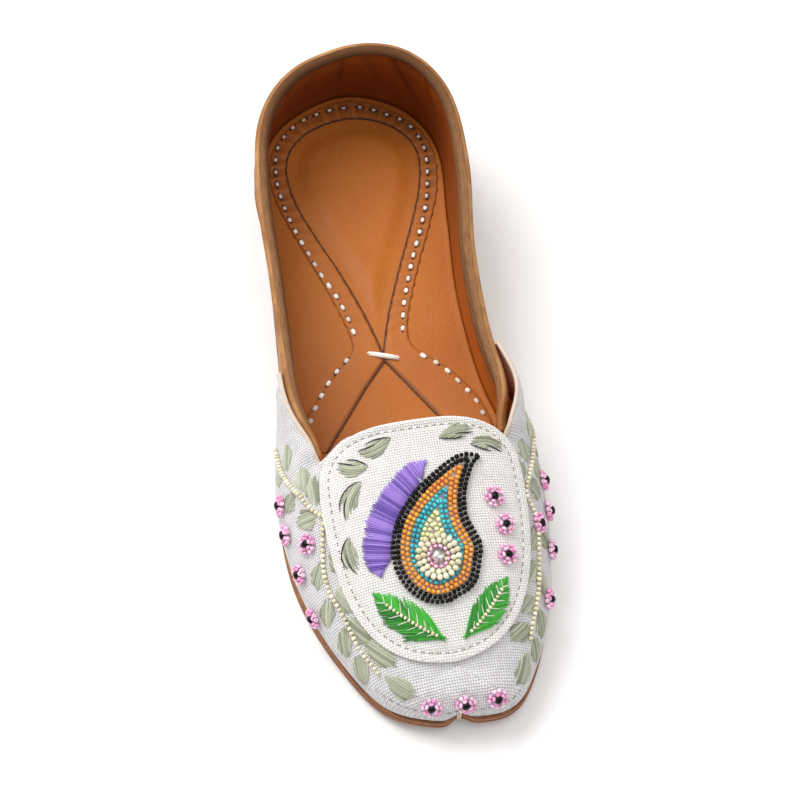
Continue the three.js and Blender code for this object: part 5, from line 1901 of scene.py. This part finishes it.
leaf_beads = vein_beads.sew("leaf_vein_beads", BEADS, CREAM_BEAD)
leaf_threads = vein_threads.sew("leaf_vein_threads", STRANDS, WHITE_THREAD)

# %% [markdown]
# ## Sprigs on the apron
# Small sage leaves with black stitches fill the back corners of the apron and its lateral side.

# %% Sprigs
SPRIGS = (
    ((-8.6, 88, 0), (-12.4, 86.2, 2.4), (-16.4, 85.2, 2.6), (-20.8, 85.4, 0)),
    ((-17.6, 79.6, 0), (-21, 79.9, 2.3), (-24.4, 81.2, 2.5), (-27.6, 83.6, 0)),
    ((-20.4, 75.6, 0), (-23.6, 73.2, 2.3), (-26, 69.6, 2.5), (-27.2, 64.6, 0)),
    ((5.8, 86.2, 0), (9.8, 87.6, 2.3), (13.8, 88, 2.5), (18.4, 87.2, 0)),
    ((15.6, 83.2, 0), (19.2, 83.8, 2.3), (22.8, 83, 2.5), (26.6, 80.2, 0)),
    ((-26.8, 60, 0), (-27.6, 56.4, 2), (-27.6, 52.4, 2.2), (-26, 47.8, 0)),
)
# start, end and offset of the black stitches on a leaf
ACCENTS = ((0.03, 0.8, 1.06), (0.5, 0.97, 0.45))
ACCENT_LIFT = 0.45
ACCENT_RADIUS, ACCENT_TAPER = 0.24, 0.7
sprig_lines, sprig_shades, accent_lines = [], [], []
for rows in SPRIGS:
    line = smooth_line(rows, 40)
    across = across_line(line)
    last = len(line) - 1

    def place(share, offset):
        middle = at_share(line, share * last)[:, :2]
        return on_apron(middle + at_share(across, share * last) * offset[:, None], SATIN_LIFT)[0]

    half = line[:, 2].max()
    satin_leaf(half, place, sprig_lines, sprig_shades)
    for begin, end, offset in ACCENTS:
        along = np.linspace(begin, end, SATIN_POINTS)
        raised = (0, 0, ACCENT_LIFT)
        accent_lines.append(place(along, half * offset * leaf_width(along)) + raised)
sprigs = sew_lines("apron_sprigs", sprig_lines, SAGE_SILK, SATIN_RADIUS, SATIN_TAPER, sprig_shades)
accents = sew_lines("sprig_accents", accent_lines, BLACK_THREAD, ACCENT_RADIUS, ACCENT_TAPER)

# %% [markdown]
# ## Seams
# White waxed stitches hold the ribbon to the footbed, one longer stitch ties the crossing, and a
# row of fine stitches goes round the apron, with grey dots of painted shade for its needle holes.
# Grey dashes of painted shadow cross the toe, and a thin beige welt ends the wings.

# %% Stitches on the ribbon
def ribbon_heading(plan):
    """Direction of the ribbon at the nearest place of its middle line."""
    middle = (ribbon_outer + ribbon_inner) / 2
    ahead = unit(np.gradient(middle, axis=0))
    near = np.linalg.norm(plan[:, None] - middle[None], axis=-1).argmin(1)
    return np.concatenate([ahead[near], np.zeros((len(plan), 1))], axis=1)

UP = np.array([0.0, 0.0, 1.0])
HOLE_AT, HOLE_SUNK = 1.15, 0.12
NEEDLE_HOLE = (1.2, 1.15, 0.4)
STITCH = (1.6, 1.4, 0.9)
STITCH_SUNK = 0.05
# stations between which the stitches get smaller towards the heel
STITCHES_SHRINK = (165, 235)
stitch_axis = ribbon_heading(stitch_plan)
stitch_spots = on_footbed(stitch_plan, RIBBON_TOP * ribbon_level(stitch_plan) - STITCH_SUNK)
ribbon_thread, needle_holes = Places(), Places()
small = 1.2 - 0.42 * smoothstep(stitch_plan[:, 1], *STITCHES_SHRINK)
stitch_size = small[:, None] * STITCH * rng.uniform(0.85, 1.15, (len(stitch_plan), 3))
ribbon_thread.add(stitch_spots, stitch_axis, UP, stitch_size, rng.random(len(stitch_spots)))
# dark sunk beads beside each stitch are the painted shade of its needle holes
for hand in (-1, 1):
    beside = stitch_spots + stitch_axis * hand * HOLE_AT - UP * HOLE_SUNK
    needle_holes.add(beside, stitch_axis, UP, NEEDLE_HOLE)
TIE = np.array([[-1.0, 140.4]])
TIE_LIFT = 0.35
tie_axis = unit(np.array([1.0, -0.34, 0.0]))
for row in (-0.36, 0.36):
    spot = on_footbed(TIE + (0, row), RIBBON_TOP * ribbon_level(TIE) + TIE_LIFT)
    ribbon_thread.add(spot, tie_axis, UP, (9.0 + row, 1.4, 1.5), 0.6 + row)
ribbon_stitches = ribbon_thread.sew("ribbon_stitches", STRANDS, WHITE_THREAD)

# %% Dark cut edge of the ribbon, partly painted shade
# a dark strand along the inner edge: the cut edge's own colour, and painted shade where the ribbon
# steps down
CUT_PITCH = 3.1
CUT_STRAND = (2.9, 0.4, 0.6)
CUT_SUNK = 0.3
cut_line = on_footbed(ribbon_inner, (RIBBON_TOP - CUT_SUNK) * ribbon_level(ribbon_inner))
cut_edge_and_shade_places = Places()
cut_edge_and_shade_places.add(*spaced(cut_line, np.broadcast_to(UP, cut_line.shape), CUT_PITCH), CUT_STRAND)
cut_edges_and_shade = cut_edge_and_shade_places.sew("ribbon_cut_edge_and_shade", STRANDS, DARK_CUT_AND_SHADE)
# the needle holes beside the ribbon stitches, as painted shade
stitch_holes = needle_holes.sew("stitch_holes", PEARLS, DARK_CUT_AND_SHADE)

# %% Apron seam
RIM_PITCH = 2.7
STITCH_LIFT = 0.08
RIM_STITCH = (1.4, 0.42, 0.4)
RIM_HOLE = (0.75, 0.7, 0.24)
RIM_HOLE_AT = 0.95
rim_edge = apron_outline(np.linspace(0, 1, 721))
rim_size = np.linalg.norm(rim_edge, axis=1, keepdims=True)
rim_plan = APRON_MIDDLE + rim_edge * (1 - SEAM_INSET / rim_size)
rim_line, rim_up = on_apron(rim_plan, -SEAM_DIP)
rim_spot, rim_axis, rim_normal = spaced(rim_line, rim_up, RIM_PITCH)
rim_thread, rim_holes = Places(), Places()
raised = rim_spot + rim_normal * STITCH_LIFT
rim_thread.add(raised, rim_axis, rim_normal, RIM_STITCH, rng.random(len(rim_spot)))
# grey beads either side of each stitch are the painted shade of its needle holes
for hand in (-1, 1):
    rim_holes.add(rim_spot + rim_axis * hand * RIM_HOLE_AT, rim_axis, rim_normal, RIM_HOLE, 0.1)
apron_stitches = rim_thread.sew("apron_stitches", STRANDS, WHITE_THREAD)
apron_holes = rim_holes.sew("apron_needle_holes", PEARLS, GREY_SHADE)

# %% Grey dashes of painted shadow on the toe, and the thread in the toe cusp
# grey dashes across the toe paint the shadows of the net's threads there
TOE_DASH_HEIGHT = 14.6
TOE_PITCH = 2.9
TOE_DASH = (1.5, 0.4, 0.36)
# millimetres from the first section of the toe to the next one
TOE_SECTION = 14
CUSP_STITCH = (5.2, 0.9, 0.9)
CUSP_SPREAD, CUSP_OUT = 0.4, 0.15
toe_rows = [
    side_rows("lateral", [(2.3 - k * 0.1, TOE_DASH_HEIGHT) for k in range(23)]),
    side_rows("medial", [(0.1 + k * 0.1, TOE_DASH_HEIGHT) for k in range(21)]),
]
toe_line, toe_up = on_cloth(np.concatenate(toe_rows), STITCH_LIFT)
toe_spot, toe_axis, toe_normal = spaced(toe_line, toe_up, TOE_PITCH)
toe_dash_places = Places()
toe_dash_places.add(toe_spot, toe_axis, toe_normal, TOE_DASH, rng.random(len(toe_spot)))
toe_shadow_piece = toe_dash_places.sew("toe_shadow_dashes", STRANDS, GREY_SHADE)

near_toe = np.linspace(0, 1, 801)
notch_u = near_toe[np.abs(around("edge", near_toe)).argmin()]
cusp_thread = Places()
for across in (-CUSP_SPREAD, CUSP_SPREAD):
    cusp_u = np.array([notch_u - across / TOE_SECTION])
    cusp = sole_inset(cusp_u, toe_notch(cusp_u))[0]
    spot = (cusp[0], cusp[1] - SOLE_LENGTH / 2 - CUSP_OUT, SOLE_THICK / 2 + TOE_SPRING)
    cusp_thread.add(spot, (0, 0, 1), (0, -1, 0), CUSP_STITCH, rng.random(1))
cusp_stitches = cusp_thread.sew("toe_cusp_thread", STRANDS, BEIGE_THREAD)

# %% Welt along the wings
WELT_RADIUS = 0.8

def wing_edge(side):
    """Up the rear edge of a wing and forward along its top to the throat."""
    rise = np.linspace(0.03, 1, 60)
    end = on_side(side, WING_U + WING_SLANT_U * (1 - rise))
    run = np.linspace(1, 0, 80)[1:]
    top = on_side(side, THROAT_U + (WING_U - THROAT_U) * run)
    u = np.concatenate([end, top])
    v = np.concatenate([split_at(end) * rise, split_at(top)])
    offset = cloth_low(u, v) + CLOTH_WALL / 2
    return skin(u, v) + skin_normal(u, v) * offset[:, None]

welts = [
    sew_lines("wing_welt_" + side, [wing_edge(side)], BEIGE_THREAD, WELT_RADIUS)
    for side in ("lateral", "medial")
]

# %% [markdown]
# ## Pieces on the body
# Every piece rides on the one body of the shoe, and the solids that it covers are hidden. The
# table also lists a slot name for each piece, which nothing here reads.

# %% Riding on the body, and hiding the covered solids
FLOWER_NODES = [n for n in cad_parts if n.startswith("flower_")]
HAND_OVER = [
    (sole, "sole_leather", ["outsole"]),
    (footbed, "tan_leather", ["insole"]),
    (ribbon, "tan_leather", ["insole_ribbon"]),
    (upper, "tan_leather", ["upper"]),
    (collar, "pale_leather", ["collar_binding"]),
    (cloth, "white_cloth", ["vamp_cover"]),
    (apron, "white_cloth", ["apron"]),
    (vines, "cream_beads", []),
    (sage_leaves, "sage_silk", []),
    (flower_petals, "pink_beads", FLOWER_NODES),
    (flower_hearts, "black_beads", []),
    (rosette_pearls, "cream_beads", ["motif_rosette"]),
    (rosette_ring, "pink_beads", []),
    (stone, "cream_beads", []),
    (fan, "purple_silk", ["motif_fan"]),
    (green_leaves["lateral"], "green_silk", ["motif_leaf_lateral"]),
    (green_leaves["medial"], "green_silk", ["motif_leaf_medial"]),
    (leaf_beads, "cream_beads", []),
    (leaf_threads, "white_thread", []),
    (sprigs, "sage_silk", []),
    (accents, "black_beads", []),
    (ribbon_stitches, "white_thread", []),
    (cut_edges_and_shade, "tan_leather", []),
    (stitch_holes, "tan_leather", []),
    (apron_stitches, "white_thread", []),
    (apron_holes, "white_thread", []),
    (toe_shadow_piece, "white_thread", []),
    (cusp_stitches, "white_thread", []),
    (welts[0], "pale_leather", []),
    (welts[1], "pale_leather", []),
]
PAISLEY_SLOTS = {
    "black": "black_beads", "orange": "orange_beads", "turquoise": "turquoise_beads",
    "lemon": "cream_beads", "pink": "pink_beads",
}
HAND_OVER += [(piece, PAISLEY_SLOTS[name], ["motif_paisley"]) for name, piece in paisley.items()]
for piece, slot, nodes in HAND_OVER:
    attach(piece, "root")
    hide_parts(*nodes)
print("pieces", len(HAND_OVER))

# %% Floor
# corners of the floor, in metres
FLOOR = [(-4, -4, 0), (4, -4, 0), (4, 4, 0), (-4, 4, 0)]

def pale_floor():
    finish = Finish("pale_floor", Specular_IOR_Level=0.2, Emission_Strength=0.1)
    cloud = finish.noise(finish.place(), 3, 2, 0.5)
    finish.feed(
        Base_Color=cloud.between(0.3, 0.7).blend(colour(232, 231, 229), colour(240, 239, 238)),
        Roughness=0.7 + 0.1 * cloud,
    )
    return finish.material

floor_mesh = bpy.data.meshes.new("floor")
floor_mesh.from_pydata(FLOOR, [], [[0, 1, 2, 3]])
floor_mesh.materials.append(pale_floor())
floor = show("floor", floor_mesh)
